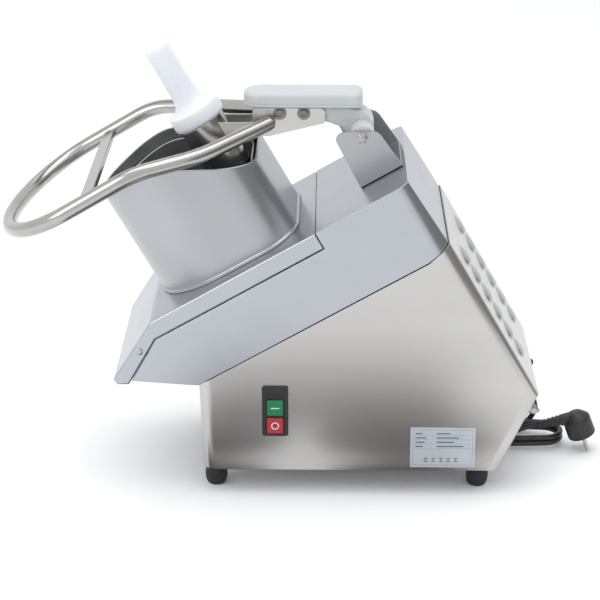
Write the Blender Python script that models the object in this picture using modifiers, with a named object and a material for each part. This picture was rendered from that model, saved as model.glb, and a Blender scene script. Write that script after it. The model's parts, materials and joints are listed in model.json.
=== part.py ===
"""Tabletop continuous-feed vegetable cutter: a stainless base with the motor, a cast cutting head
tilted 30 degrees, a hopper with a lever pusher, and a mains lead folded up behind it.

Run in Blender 4.5. Metres, +Z up, X to the machine's rear, origin on the floor under its middle.
The cutting head is laid out in its own frame: u runs up the slope of the lid, h stands square to it.
"""

import math

import bmesh
import bpy
from mathutils import Euler, Matrix, Vector

MM = 0.001
GAP = 0.3 * MM

# Overall layout
WIDTH = 238 * MM
HALF = WIDTH / 2
TILT = math.radians(30)
LID_SEAM = Vector((53.4 * MM, 0.0, 331.9 * MM))  # rear edge of the lid on the tilted top face
FLOOR_GAP = 33 * MM  # the base stands this high on its feet
SHEET = 1.5 * MM

# Cutting head, as (u, h)
LID_WALL = 3 * MM
SPINDLE_U = -118 * MM
CHAMBER_RADIUS = 108 * MM
CHAMBER_FLOOR = -62 * MM

# Hopper and pusher, D-shaped in plan
HOPPER_U = -120 * MM
HOPPER_RADIUS = 93 * MM
HOPPER_REAR = -24 * MM
HOPPER_CORNER = 45 * MM
HOPPER_WALL = 2.5 * MM
PUSHER_RADIUS = 84.5 * MM
PUSHER_REAR = -36 * MM
PUSHER_CORNER = 38 * MM
TUBE_U = -68.5 * MM
TUBE_RADIUS = 28 * MM
TUBE_TOP = 154 * MM

# Lever
PIVOT_U = 92.8 * MM
PIVOT_H = 52.8 * MM
LOOP_RADIUS = 9 * MM
LOOP_HALF = 139 * MM
BRACKET_HALF = 47 * MM

# Drive
DISC_RADIUS = 102.5 * MM
DRIVEN_RADIUS = 72 * MM
DRIVER_RADIUS = 16 * MM
MOTOR_U = 40 * MM
MOTOR_RADIUS = 62 * MM

# Mains lead
CORD_RADIUS = 3.5 * MM
HANK_RUN = 140 * MM  # between the centres of the two folds
HANK_HALF = 24.5 * MM
HANK_CENTRE = Vector((272.5 * MM, 35 * MM, 0.0))
HANK_TOP = 24 * MM
TIE_X = 261 * MM

HEAD_ROTATION = Euler((0, -TILT, 0))
TO_SIDE = Euler((math.radians(90), 0, 0))
SIDE_ON = Euler((math.radians(90), 0, math.radians(90)))  # stands an outline up, facing along X

BEVELLED = ("head_casting", "lid")

parts = None
cutters = None


def clear_scene():
    """Removes what the scene holds, and makes the two collections."""
    global parts, cutters
    for obj in list(bpy.data.objects):
        bpy.data.objects.remove(obj, do_unlink=True)
    parts = bpy.data.collections.new("vegetable_cutter")
    cutters = bpy.data.collections.new("cutters")
    bpy.context.scene.collection.children.link(parts)
    bpy.context.scene.collection.children.link(cutters)


def head(u, h, y=0.0):
    """The world position of a point of the tilted head frame."""
    along = Vector((math.cos(TILT), 0, math.sin(TILT)))
    normal = Vector((-math.sin(TILT), 0, math.cos(TILT)))
    return LID_SEAM + along * u + normal * h + Vector((0, y, 0))


def head_outline(points):
    """(u, h) points in millimetres as world (x, z) in metres."""
    return [head(u * MM, h * MM).xz for u, h in points]


def scaled(points):
    return [(a * MM, b * MM) for a, b in points]


def material(name, colour, roughness, metallic=0.0):
    made = bpy.data.materials.get(name)
    if made is None:
        made = bpy.data.materials.new(name)
        made.use_nodes = True
        shader = made.node_tree.nodes["Principled BSDF"]
        shader.inputs["Base Color"].default_value = (*colour, 1)
        shader.inputs["Roughness"].default_value = roughness
        shader.inputs["Metallic"].default_value = metallic
    return made


STEEL = ("brushed_steel", (0.55, 0.54, 0.52), 0.35, 1.0)
CAST = ("cast_aluminium", (0.52, 0.54, 0.56), 0.3, 1.0)
SATIN = ("satin_steel", (0.45, 0.46, 0.47), 0.5, 1.0)
BRIGHT = ("bright_steel", (0.6, 0.6, 0.58), 0.2, 1.0)
PAINTED = ("painted_cover", (0.7, 0.72, 0.73), 0.45)
RUBBER = ("rubber", (0.02, 0.02, 0.02), 0.8)
BLACK = ("black_plastic", (0.03, 0.03, 0.03), 0.5)
WHITE = ("white_plastic", (0.85, 0.86, 0.88), 0.4)
GREEN = ("green_plastic", (0.02, 0.3, 0.12), 0.4)
RED = ("red_plastic", (0.55, 0.03, 0.03), 0.4)
LABEL = ("label_foil", (0.7, 0.7, 0.7), 0.4, 0.6)
MOTOR_PAINT = ("motor_paint", (0.1, 0.12, 0.14), 0.5, 0.3)


def finish(obj, look):
    obj.data.materials.clear()
    obj.data.materials.append(material(*look))
    return obj


def add_mesh(name, mesh, look=None, origin=None):
    """An object for this mesh, which is in world coordinates; its origin goes to the point given."""
    obj = bpy.data.objects.new(name, mesh)
    (parts if look else cutters).objects.link(obj)
    if look:
        finish(obj, look)
        mesh.shade_smooth()
        mesh.set_sharp_from_angle(angle=math.radians(35))
    else:
        obj.hide_render = True
        obj.display_type = "WIRE"
    if origin is not None:
        mesh.transform(Matrix.Translation(-origin))
        obj.location = origin
    return obj


def mesh_of_curve(data, name, matrix):
    """The closed mesh that a curve makes, moved by the matrix, with its caps welded on."""
    curve = bpy.data.objects.new(name + "_curve", data)
    bpy.context.scene.collection.objects.link(curve)
    bpy.context.view_layer.update()
    evaluated = curve.evaluated_get(bpy.context.evaluated_depsgraph_get())
    mesh = bpy.data.meshes.new_from_object(evaluated)
    mesh.name = name
    bpy.data.objects.remove(curve, do_unlink=True)
    shape = bmesh.new()
    shape.from_mesh(mesh)
    bmesh.ops.remove_doubles(shape, verts=shape.verts, dist=1e-6)
    shape.transform(matrix)
    bmesh.ops.recalc_face_normals(shape, faces=shape.faces)
    shape.to_mesh(mesh)
    shape.free()
    return mesh


def outline_mesh(name, outlines, half_thickness, centre, rotation):
    """A flat outline, which may hold inner outlines as holes, thickened both ways."""
    data = bpy.data.curves.new(name, "CURVE")
    data.dimensions = "2D"
    data.fill_mode = "BOTH"
    data.extrude = half_thickness
    for outline in outlines:
        spline = data.splines.new("POLY")
        spline.points.add(len(outline) - 1)
        for point, (a, b) in zip(spline.points, outline):
            point.co = (a, b, 0, 1)
        spline.use_cyclic_u = True
    return mesh_of_curve(data, name, Matrix.Translation(centre) @ rotation.to_matrix().to_4x4())


def side_prism(name, outline, low_y, high_y, look=None, origin=None, holes=()):
    """An (x, z) outline in world coordinates, as thick as the stretch of y given."""
    centre = Vector((0, (low_y + high_y) / 2, 0))
    half = (high_y - low_y) / 2
    return add_mesh(name, outline_mesh(name, [outline, *holes], half, centre, TO_SIDE), look, origin)


def head_prism(name, outline, low_h, high_h, look=None, origin=None, holes=()):
    """A (u, y) outline on the tilted head, standing from low_h to high_h."""
    centre = head(0, (low_h + high_h) / 2)
    half = (high_h - low_h) / 2
    return add_mesh(name, outline_mesh(name, [outline, *holes], half, centre, HEAD_ROTATION), look, origin)


def box(name, low, high, look=None, origin=None, rotation=None, centre=None):
    """A box between two corners; with a centre it is turned there by the rotation."""
    low, high = Vector(low), Vector(high)
    shape = bmesh.new()
    bmesh.ops.create_cube(shape, size=1)
    size = high - low
    middle = (high + low) / 2
    bmesh.ops.scale(shape, vec=size, verts=shape.verts)
    bmesh.ops.translate(shape, vec=middle, verts=shape.verts)
    if centre is not None:
        shape.transform(Matrix.Translation(centre) @ rotation.to_matrix().to_4x4())
    mesh = bpy.data.meshes.new(name)
    shape.to_mesh(mesh)
    shape.free()
    return add_mesh(name, mesh, look, origin)


def head_box(name, low, high, look=None, origin=None):
    """A box whose corners are (u, y, h) in the head frame."""
    return box(name, low, high, look, origin, HEAD_ROTATION, LID_SEAM)


def axis_matrix(centre, direction):
    """Places a shape made along +Z so that it starts at the centre and points in the direction."""
    turn = Vector((0, 0, 1)).rotation_difference(Vector(direction)).to_matrix().to_4x4()
    return Matrix.Translation(centre) @ turn


HEAD_NORMAL = (-math.sin(TILT), 0, math.cos(TILT))


def turned(name, profile, centre, direction, look=None, origin=None, steps=24):
    """A turned solid: (radius, height) from the top down its outer side, closed on the axis or a bore."""
    shape = bmesh.new()
    closed = profile[0][0] > 0 or profile[-1][0] > 0
    verts = [shape.verts.new((radius, 0, height)) for radius, height in profile]
    edges = [shape.edges.new(pair) for pair in zip(verts, verts[1:])]
    if closed:
        edges.append(shape.edges.new((verts[-1], verts[0])))
    bmesh.ops.spin(
        shape, geom=verts + edges, cent=(0, 0, 0), axis=(0, 0, 1), angle=2 * math.pi, steps=steps,
        use_merge=False, use_duplicate=False,
    )
    bmesh.ops.remove_doubles(shape, verts=shape.verts, dist=1e-6)
    bmesh.ops.recalc_face_normals(shape, faces=shape.faces)
    shape.transform(axis_matrix(centre, direction))
    mesh = bpy.data.meshes.new(name)
    shape.to_mesh(mesh)
    shape.free()
    return add_mesh(name, mesh, look, origin)


def rod(name, radius, start, end, look=None, origin=None, steps=20):
    """A plain cylinder between two points."""
    start, end = Vector(start), Vector(end)
    length = (end - start).length
    shape = bmesh.new()
    bmesh.ops.create_cone(
        shape, cap_ends=True, segments=steps, radius1=radius, radius2=radius, depth=length
    )
    bmesh.ops.translate(shape, vec=(0, 0, length / 2), verts=shape.verts)
    shape.transform(axis_matrix(start, end - start))
    mesh = bpy.data.meshes.new(name)
    shape.to_mesh(mesh)
    shape.free()
    return add_mesh(name, mesh, look, origin)


def boolean(obj, other, operation="DIFFERENCE"):
    """The two bevelled castings need the Manifold solver; everything else takes the Exact one."""
    step = obj.modifiers.new(operation.lower(), "BOOLEAN")
    step.operation = operation
    step.solver = "MANIFOLD" if obj.name in BEVELLED else "EXACT"
    step.object = other


def cut(obj, *others):
    for other in others:
        boolean(obj, other)


def join(obj, *others):
    for other in others:
        boolean(obj, other, "UNION")


def arc(centre, radius, start, end, steps):
    """Points of an arc in degrees, both ends included."""
    found = []
    for step in range(steps + 1):
        angle = math.radians(start + (end - start) * step / steps)
        found.append((centre[0] + radius * math.cos(angle), centre[1] + radius * math.sin(angle)))
    return found


def d_outline(radius, rear, corner, steps=20):
    """A D in (u, y): a half circle at the front, and a rear wall with rounded corners."""
    front = arc((HOPPER_U, 0), radius, 90, 270, steps)
    low = arc((rear - corner, corner - radius), corner, 270, 360, steps // 3)
    high = arc((rear - corner, radius - corner), corner, 0, 90, steps // 3)
    return front + low + high


def rounded_box(name, low, high, width, look, origin=None, segments=3):
    obj = box(name, low, high, look, origin)
    bevel = obj.modifiers.new("round", "BEVEL")
    bevel.width = width
    bevel.segments = segments
    return obj


# ---- Base ----

REAR_KINK = Vector((318.3 * MM, 0, 128 * MM))
REAR_FOOT = Vector((274.5 * MM, 0, FLOOR_GAP))
REAR_NORMAL = Vector((95, 0, -43.8)).normalized()  # of the lower rear face, which slants under
GLAND_POINT = Vector((292.5 * MM, 65 * MM, 72 * MM))
SWITCH_LOW = (-9 * MM, 78 * MM)
SWITCH_HIGH = (22 * MM, 142 * MM)


def base_outline():
    seam = [(127, -89.6), (118, -92.3), (95, -96.6), (-214.5, -96.6)]
    front = scaled([(-79, 33)])
    return head_outline(seam) + front + [REAR_FOOT.xz, REAR_KINK.xz]


def wrapped_shell(name, outline, corner_edges, open_edges, corner, wall, look):
    """A sheet wrapped round an outline and closed by both sides, with the listed outline edges left open."""
    shape = bmesh.new()
    near = [shape.verts.new((x, -HALF, z)) for x, z in outline]
    far = [shape.verts.new((x, HALF, z)) for x, z in outline]
    count = len(outline)
    rims = []
    for side in (near, far):
        shape.faces.new(side)
        rims += [shape.edges.get((side[i], side[(i + 1) % count])) for i in corner_edges]
    doomed = []
    for i in range(count):
        j = (i + 1) % count
        face = shape.faces.new((near[i], near[j], far[j], far[i]))
        if i in open_edges:
            doomed.append(face)
    bmesh.ops.delete(shape, geom=doomed, context="FACES_ONLY")
    bmesh.ops.recalc_face_normals(shape, faces=shape.faces)
    bmesh.ops.bevel(
        shape, geom=rims, offset=corner, segments=3, profile=0.5, affect="EDGES", clamp_overlap=True
    )
    mesh = bpy.data.meshes.new(name)
    shape.to_mesh(mesh)
    shape.free()
    obj = add_mesh(name, mesh, look)
    solidify = obj.modifiers.new("wall", "SOLIDIFY")
    solidify.thickness = wall
    solidify.offset = -1
    solidify.use_even_offset = True
    return obj


def louvre_cutters(obj):
    """Two columns of half-round slots through the upper rear face."""
    for column, y in enumerate((-48 * MM, 62 * MM)):
        for row in range(6):
            name = f"louvre_cut_{column}_{row}"
            h = (-133 - 27 * row) * MM
            outline = arc((0, 0), 20 * MM, 180, 360, 8)
            centre = head(127 * MM, h, y)
            facing = Matrix((
                (0, -math.sin(TILT), math.cos(TILT)),
                (1, 0, 0),
                (0, math.cos(TILT), math.sin(TILT)),
            )).to_euler()
            slot = outline_mesh(name, [[(a, b * 0.55) for a, b in outline]], 8 * MM, centre, facing)
            cut(obj, add_mesh(name, slot))


def make_base():
    outline = base_outline()
    # Edge i runs from point i to the next: 0 to 2 are the seam, 4 is the bottom.
    base = wrapped_shell("base_housing", outline, (3, 5, 6), (0, 1, 2, 4), 10 * MM, SHEET, STEEL)
    louvre_cutters(base)
    low_x, low_z = SWITCH_LOW
    high_x, high_z = SWITCH_HIGH
    inset = 3 * MM
    cut(base, box(
        "switch_hole_cut", (low_x + inset, -HALF - 5 * MM, low_z + inset),
        (high_x - inset, -HALF + 5 * MM, high_z - inset),
    ))
    gland_cut = rod(
        "gland_hole_cut", 8.3 * MM, GLAND_POINT - REAR_NORMAL * 6 * MM,
        GLAND_POINT + REAR_NORMAL * 6 * MM,
    )
    cut(base, gland_cut)
    box(
        "bottom_plate", (-74 * MM, -113 * MM, 34.5 * MM), (268 * MM, 113 * MM, 36.5 * MM), STEEL,
    )
    foot = [
        (0, 33.9), (8.3, 33.9), (8.3, 26), (13.3, 17), (13.5, 8), (12.5, 3), (9.5, 0), (0, 0),
    ]
    for end, x in (("front", -66 * MM), ("rear", 250 * MM)):
        for side, y in (("near", -85 * MM), ("far", 85 * MM)):
            turned(
                f"foot_{end}_{side}", scaled(foot), (x, y, 0), (0, 0, 1), RUBBER, steps=16,
            )
    plate_face = -HALF - 0.9 * MM
    box("rating_plate", (167 * MM, plate_face, 37.5 * MM), (244 * MM, -HALF - GAP, 89.5 * MM), LABEL)
    below_kink = (REAR_FOOT - REAR_KINK).normalized() * 9 * MM
    bumper = [(0, 7.5), (4.5, 7.5), (6.5, 5.5), (6.5, 0.3), (0, 0.3)]
    bumper_point = REAR_KINK + below_kink + Vector((0, 8 * MM, 0))
    turned("rear_bumper", scaled(bumper), bumper_point, REAR_NORMAL, RUBBER, steps=12)
    stud_point = Vector((308.4 * MM, -96 * MM, 106.5 * MM))
    stud = [(0, 13), (3, 13), (3, 9), (6, 9), (6, 4), (7, 4), (7, 0.4), (0, 0.4)]
    turned("earth_terminal", scaled(stud), stud_point, REAR_NORMAL, BRIGHT, steps=12)


# ---- Cutting head ----

def chamber_cutter(name):
    return rod(
        name, CHAMBER_RADIUS, head(SPINDLE_U, CHAMBER_FLOOR), head(SPINDLE_U, 10 * MM), steps=48
    )


def make_head_casting():
    outline = [
        (-279, -52.4), (-227.3, -21.8), (0, -21.8), (0, 0), (121, 0),
        (125, -89), (118, -91.7), (95, -96), (-214, -96),
    ]
    casting = side_prism("head_casting", head_outline(outline), -HALF, HALF, CAST)
    bevel = casting.modifiers.new("edges", "BEVEL")
    bevel.width = 3 * MM
    bevel.segments = 2
    bevel.limit_method = "ANGLE"
    bevel.angle_limit = math.radians(50)
    hollow = [(-184, -66), (-1, -66), (-1, -4), (117.5, -4), (121.3, -110), (-218, -110)]
    chute = [(-190, -62), (-222, -101), (-300, -75), (-300, -10), (-190, -10)]
    cut(
        casting,
        side_prism("head_hollow_cut", head_outline(hollow), -115 * MM, 115 * MM),
        chamber_cutter("chamber_cut"),
        side_prism("chute_cut", head_outline(chute), -112 * MM, 112 * MM),
        rod("seal_hole_cut", 12 * MM, head(SPINDLE_U, -70 * MM), head(SPINDLE_U, -58 * MM)),
    )
    ear = [(-262, -48), (-262, -25.9), (-243, -15.8), (-243, -30)]
    for side in (-1, 1):
        low, high = sorted((side * 108 * MM, side * 115.4 * MM))
        join(casting, side_prism(f"ear_{side}", head_outline(ear), low, high))
    cut(casting, lid_pin_hole("ear_pin_cut"))


LID_PIN = (-251.5 * MM, -25 * MM)


def lid_pin_hole(name):
    return rod(name, 2.3 * MM, head(*LID_PIN, -125 * MM), head(*LID_PIN, 125 * MM), steps=12)


def make_lid():
    crease = arc((-219, -12), 12, 90, 118, 3)
    outline = [
        (-0.5, -21.3), (-0.5, 0), *crease, (-297.3, -40.2), (-296.7, -48), (-284.3, -54.9),
        (-227.5, -21.3),
    ]
    lid = side_prism("lid", head_outline(outline), -HALF, HALF, CAST)
    bevel = lid.modifiers.new("edges", "BEVEL")
    bevel.width = 2.5 * MM
    bevel.segments = 2
    bevel.limit_method = "ANGLE"
    bevel.angle_limit = math.radians(50)
    inside = [(-3.5, -3), (-221.3, -3), (-293.2, -41.4), (-293.2, -75), (-3.5, -75)]
    inner = HALF - LID_WALL
    cut(
        lid,
        side_prism("lid_hollow_cut", head_outline(inside), -inner, inner),
        head_prism(
            "hopper_hole_cut",
            d_outline(HOPPER_RADIUS + 0.4 * MM, HOPPER_REAR + 0.4 * MM, HOPPER_CORNER),
            -10 * MM, 10 * MM,
        ),
        lid_pin_hole("lid_pin_cut"),
    )
    pin = scaled([(0, 1.8), (3, 1.8), (4, 0.9), (4, 0.3), (2, 0.3), (2, -13), (0, -13)])
    for side, name in ((-1, "near"), (1, "far")):
        turned(
            f"lid_pin_{name}", pin, head(*LID_PIN, side * HALF), (0, side, 0), BRIGHT, steps=12,
        )


def rim_cutter(name, drop, reach):
    """Cuts away what stands above a rim that is level at the rear and bends to slope at the front."""
    line = [(-15, 90), (-112, 140.5), (-125, 145.5), (-140, 147.5), (-160, 147), (-225, 140)]
    outline = [(u, h - drop) for u, h in line] + [(-225, 220), (-10, 220), (-10, 90 - drop)]
    return side_prism(name, head_outline(outline), -reach, reach)


def make_hopper():
    outer = d_outline(HOPPER_RADIUS, HOPPER_REAR, HOPPER_CORNER)
    inner = d_outline(
        HOPPER_RADIUS - HOPPER_WALL, HOPPER_REAR - HOPPER_WALL, HOPPER_CORNER - HOPPER_WALL
    )
    hopper = head_prism("hopper", outer, -3.5 * MM, 158 * MM, SATIN, holes=[inner])
    collar_out = d_outline(HOPPER_RADIUS + 4 * MM, HOPPER_REAR + 4 * MM, HOPPER_CORNER + 4 * MM)
    collar_in = d_outline(
        HOPPER_RADIUS - 1.2 * MM, HOPPER_REAR - 1.2 * MM, HOPPER_CORNER - 1.2 * MM
    )
    join(hopper, head_prism("collar", collar_out, 0.4 * MM, 5.4 * MM, holes=[collar_in]))
    cut(hopper, rim_cutter("hopper_rim_cut", 0, 130 * MM))


# ---- Lever: everything here turns about the pivot ----

PIVOT = head(PIVOT_U, PIVOT_H)


def make_pusher():
    outer = d_outline(PUSHER_RADIUS, PUSHER_REAR, PUSHER_CORNER)
    wall = 2.5 * MM
    inner = d_outline(PUSHER_RADIUS - wall, PUSHER_REAR - wall, PUSHER_CORNER - wall)
    pusher = head_prism("pusher", outer, 8 * MM, 158 * MM, SATIN, PIVOT)
    cut(
        pusher,
        head_prism("pusher_hollow_cut", inner, 11 * MM, 170 * MM),
        rim_cutter("pusher_rim_cut", 14, 120 * MM),
        rod(
            "pusher_tube_cut", TUBE_RADIUS + GAP, head(TUBE_U, 0), head(TUBE_U, 20 * MM), steps=32
        ),
    )
    tube = scaled([(28, 154), (28, 8.5), (26, 8.5), (26, 154)])
    turned("feed_tube", tube, head(TUBE_U, 0), HEAD_NORMAL, BRIGHT, PIVOT, steps=32)


def make_plunger():
    profile = scaled([
        (0, 261), (12, 260), (15.5, 256), (15.5, 174.3), (30, 174.3), (32, 172), (32, 156.5),
        (30, 154.4), (15.5, 154.4), (15.5, 26), (25, 26), (25, 12), (0, 12),
    ])
    turned("plunger", profile, head(TUBE_U, 0), HEAD_NORMAL, WHITE, PIVOT, steps=28)


def bend(before, corner, after, reach, steps=5):
    """A smooth corner: a parabola between points that lie the reach before and after the corner."""
    start = corner + (before - corner).normalized() * reach
    end = corner + (after - corner).normalized() * reach
    found = []
    for step in range(steps + 1):
        t = step / steps
        found.append(start * (1 - t) ** 2 + corner * 2 * t * (1 - t) + end * t ** 2)
    return found


def loop_route():
    """Centre line of the handle tube, from its near end round the front to its far end."""
    tip = Vector((-312, 0, 312.7)) * MM
    slope = Vector((math.cos(math.radians(30.6)), 0, math.sin(math.radians(30.6))))
    reach = 98 * MM
    front = []
    steps = 22
    for step in range(steps + 1):
        angle = math.pi * (step / steps - 0.5)
        front.append(
            tip + slope * reach * (1 - math.cos(angle)) + Vector((0, LOOP_HALF * math.sin(angle), 0))
        )
    first = tip + slope * 188 * MM + Vector((0, LOOP_HALF, 0))
    second = Vector((-79, 106, 419)) * MM
    end = Vector((3.8, 27.5, 438.4)) * MM
    side = [
        *bend(front[-1], first, second, 22 * MM), *bend(first, second, end, 22 * MM), end,
    ]
    mirrored = [Vector((p.x, -p.y, p.z)) for p in reversed(side)]
    return mirrored + front + side


def tube_mesh(name, route, radius, resolution=2):
    data = bpy.data.curves.new(name, "CURVE")
    data.dimensions = "3D"
    data.bevel_depth = radius
    data.bevel_resolution = resolution
    data.use_fill_caps = True
    spline = data.splines.new("POLY")
    spline.points.add(len(route) - 1)
    for point, place in zip(spline.points, route):
        point.co = (*place, 1)
    return mesh_of_curve(data, name, Matrix())


ARM_BOLTS = ((11 * MM, 446 * MM), (39 * MM, 446 * MM))


def make_lever():
    add_mesh("handle_loop", tube_mesh("handle_loop", loop_route(), LOOP_RADIUS), BRIGHT, PIVOT)
    bar = LOOP_HALF - LOOP_RADIUS - 0.5 * MM
    box(
        "handle_crossbar", (-8.5 * MM, -bar, -3 * MM), (8.5 * MM, bar, 3 * MM), BRIGHT, PIVOT,
        Euler((0, math.radians(-30.6), 0)), Vector((-206, 0, 375.5)) * MM,
    )
    arm_line = [
        (-18, 424), (-18, 452.5), (90, 452.5), (110, 446), (120, 434), (121, 420), (107, 411),
        (95, 416), (84, 428), (62, 436), (0, 424),
    ]
    arm = side_prism("lever_arm", scaled(arm_line), -17 * MM, 17 * MM, CAST, PIVOT)
    barrel = Vector((0, 42.5 * MM, 0))
    join(arm, rod("barrel", 14 * MM, PIVOT - barrel, PIVOT + barrel))
    reach = Vector((0, 60 * MM, 0))
    cut(arm, rod("arm_pivot_cut", 5.3 * MM, PIVOT - reach, PIVOT + reach, steps=16))
    bolt_cuts = [
        rod(f"arm_bolt_cut_{i}", 3.3 * MM, (x, -60 * MM, z), (x, 60 * MM, z), steps=12)
        for i, (x, z) in enumerate(ARM_BOLTS)
    ]
    cut(arm, *bolt_cuts)
    plate_line = [
        (-78, 418), (-78, 434), (-21, 434), (-21, 448), (-17, 452), (60, 452), (64, 448), (64, 434),
        (-1, 418),
    ]
    tube_cut = rod(
        "plate_tube_cut", TUBE_RADIUS + GAP, head(TUBE_U, 100 * MM), head(TUBE_U, 190 * MM), steps=32
    )
    for side, name in ((-1, "near"), (1, "far")):
        low, high = sorted((side * 17.4 * MM, side * 20 * MM))
        plate = side_prism(f"lever_plate_{name}", scaled(plate_line), low, high, STEEL, PIVOT)
        cut(plate, *bolt_cuts, tube_cut)
    rounded_box(
        "arm_cover", (-32 * MM, -22.5 * MM, 453 * MM), (108 * MM, 22.5 * MM, 470.5 * MM), 6 * MM,
        PAINTED, PIVOT,
    )
    bolt = [(0, 26), (4, 26), (6, 24.5), (6, 20.4), (3, 20.4), (3, -20.4), (6, -20.4), (6, -24.5),
            (4, -26), (0, -26)]
    for (x, z), name in zip(ARM_BOLTS, ("front", "rear")):
        turned(f"arm_bolt_{name}", scaled(bolt), (x, 0, z), (0, 1, 0), BRIGHT, PIVOT, steps=12)


def make_bracket():
    """The sheet bracket that carries the lever's pivot bolt."""
    half = BRACKET_HALF / MM
    channel = [(-half, 0.4), (-half, 75), (-half + 3, 75), (-half + 3, 3.4),
               (half - 3, 3.4), (half - 3, 75), (half, 75), (half, 0.4)]
    centre = head(89.5 * MM, 0)
    turn = (HEAD_ROTATION.to_matrix() @ SIDE_ON.to_matrix()).to_euler()
    mesh = outline_mesh("pivot_bracket", [scaled(channel)], 30 * MM, centre, turn)
    bracket = add_mesh("pivot_bracket", mesh, CAST)
    side = [
        (61, -5), (64, 64), (66, 68), (70, 70), (77, 70), (107, 54), (111, 50), (113, 44),
        (117.5, -5),
    ]
    boolean(bracket, side_prism("bracket_side", head_outline(side), -60 * MM, 60 * MM), "INTERSECT")
    reach = Vector((0, 60 * MM, 0))
    cut(bracket, rod("bracket_pivot_cut", 5.3 * MM, PIVOT - reach, PIVOT + reach, steps=16))
    bolt = [(0, 53), (7, 53), (9, 51), (9, 47.4), (5, 47.4), (5, -47.4), (9, -47.4), (9, -51),
            (7, -53), (0, -53)]
    turned("pivot_bolt", scaled(bolt), PIVOT, (0, 1, 0), BRIGHT, steps=16)


# ---- Inside the head and the base ----

def on_spindle(h=0.0):
    return head(SPINDLE_U, h)


def blade_outline(start, steps=10):
    """A comma-shaped blade in the disc's plane, from the hub to the rim."""
    inner, outer, sweep = 20 * MM, 95 * MM, 50
    lead, trail = [], []
    for step in range(steps + 1):
        t = step / steps
        radius = inner + (outer - inner) * t
        angle = math.radians(start + sweep * t)
        width = math.radians(24 + 46 * (1 - t) * t + 14 * (1 - t))
        lead.append((SPINDLE_U + radius * math.cos(angle), radius * math.sin(angle)))
        trail.append((SPINDLE_U + radius * math.cos(angle - width), radius * math.sin(angle - width)))
    return lead + trail[::-1]


def window_outline(start, steps=8):
    """The slot in front of a blade's edge."""
    inner, outer, sweep = 24 * MM, 92 * MM, 50
    back, front = [], []
    for step in range(steps + 1):
        t = step / steps
        radius = inner + (outer - inner) * t
        angle = math.radians(start + sweep * t)
        width = 9 * MM / radius
        back.append((SPINDLE_U + radius * math.cos(angle), radius * math.sin(angle)))
        front.append((SPINDLE_U + radius * math.cos(angle + width), radius * math.sin(angle + width)))
    return back + front[::-1]


def make_cutting_set():
    disc_profile = scaled([
        (102.5, -8), (102.5, -23.6), (99.5, -23.6), (99.5, -11), (16, -11), (16, -30), (10, -30),
        (10, -8),
    ])
    disc = turned("slicing_disc", disc_profile, on_spindle(), HEAD_NORMAL, CAST, on_spindle(), steps=48)
    for index, start in enumerate((20, 200)):
        cut(disc, head_prism(f"window_cut_{index}", window_outline(start), -14 * MM, -5 * MM))
        head_prism(
            f"slicing_blade_{index + 1}", blade_outline(start), -7.7 * MM, -6.2 * MM, BRIGHT,
            on_spindle(),
        )
    ejector_profile = scaled([
        (18, -33), (18, -45), (100, -45), (100, -48), (18, -48), (18, -58), (10, -58), (10, -33),
    ])
    ejector = turned(
        "ejector_disc", ejector_profile, on_spindle(), HEAD_NORMAL, WHITE, on_spindle(), steps=36,
    )
    for index in range(4):
        angle = math.radians(45 + 90 * index)
        vane = box(
            f"vane_{index}", (15 * MM, -1.5 * MM, -46 * MM), (97 * MM, 1.5 * MM, -36 * MM),
            rotation=Euler((0, 0, angle)), centre=Vector((0, 0, 0)),
        )
        vane.data.transform(Matrix.Translation(on_spindle()) @ HEAD_ROTATION.to_matrix().to_4x4())
        join(ejector, vane)
    spindle_profile = scaled([
        (0, 2), (5, 2), (9.6, -2), (9.6, -61), (8.3, -61), (8.3, -135), (0, -135),
    ])
    turned("spindle", spindle_profile, on_spindle(), HEAD_NORMAL, BRIGHT, on_spindle(), steps=20)
    seal = scaled([(11.7, -62.6), (11.7, -65.6), (8.6, -65.6), (8.6, -62.6)])
    turned("spindle_seal", seal, on_spindle(), HEAD_NORMAL, RUBBER, steps=20)
    housing = scaled([
        (40, -66.4), (40, -72), (26, -74), (26, -101), (17.3, -101), (17.3, -66.4),
    ])
    turned("bearing_housing", housing, on_spindle(), HEAD_NORMAL, CAST, steps=24)
    for name, top in (("upper_bearing", -72), ("lower_bearing", -88)):
        ring = scaled([(17, top), (17, top - 10), (8.6, top - 10), (8.6, top)])
        turned(name, ring, on_spindle(), HEAD_NORMAL, BRIGHT, steps=24)


def belt_outline(extra):
    """Two circles joined by their outer tangents."""
    reach = MOTOR_U - SPINDLE_U
    big, small = DRIVEN_RADIUS + extra, DRIVER_RADIUS + extra
    lean = math.degrees(math.acos((big - small) / reach))
    return arc((SPINDLE_U, 0), big, lean, 360 - lean, 28) + arc((MOTOR_U, 0), small, -lean, lean, 10)


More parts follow.
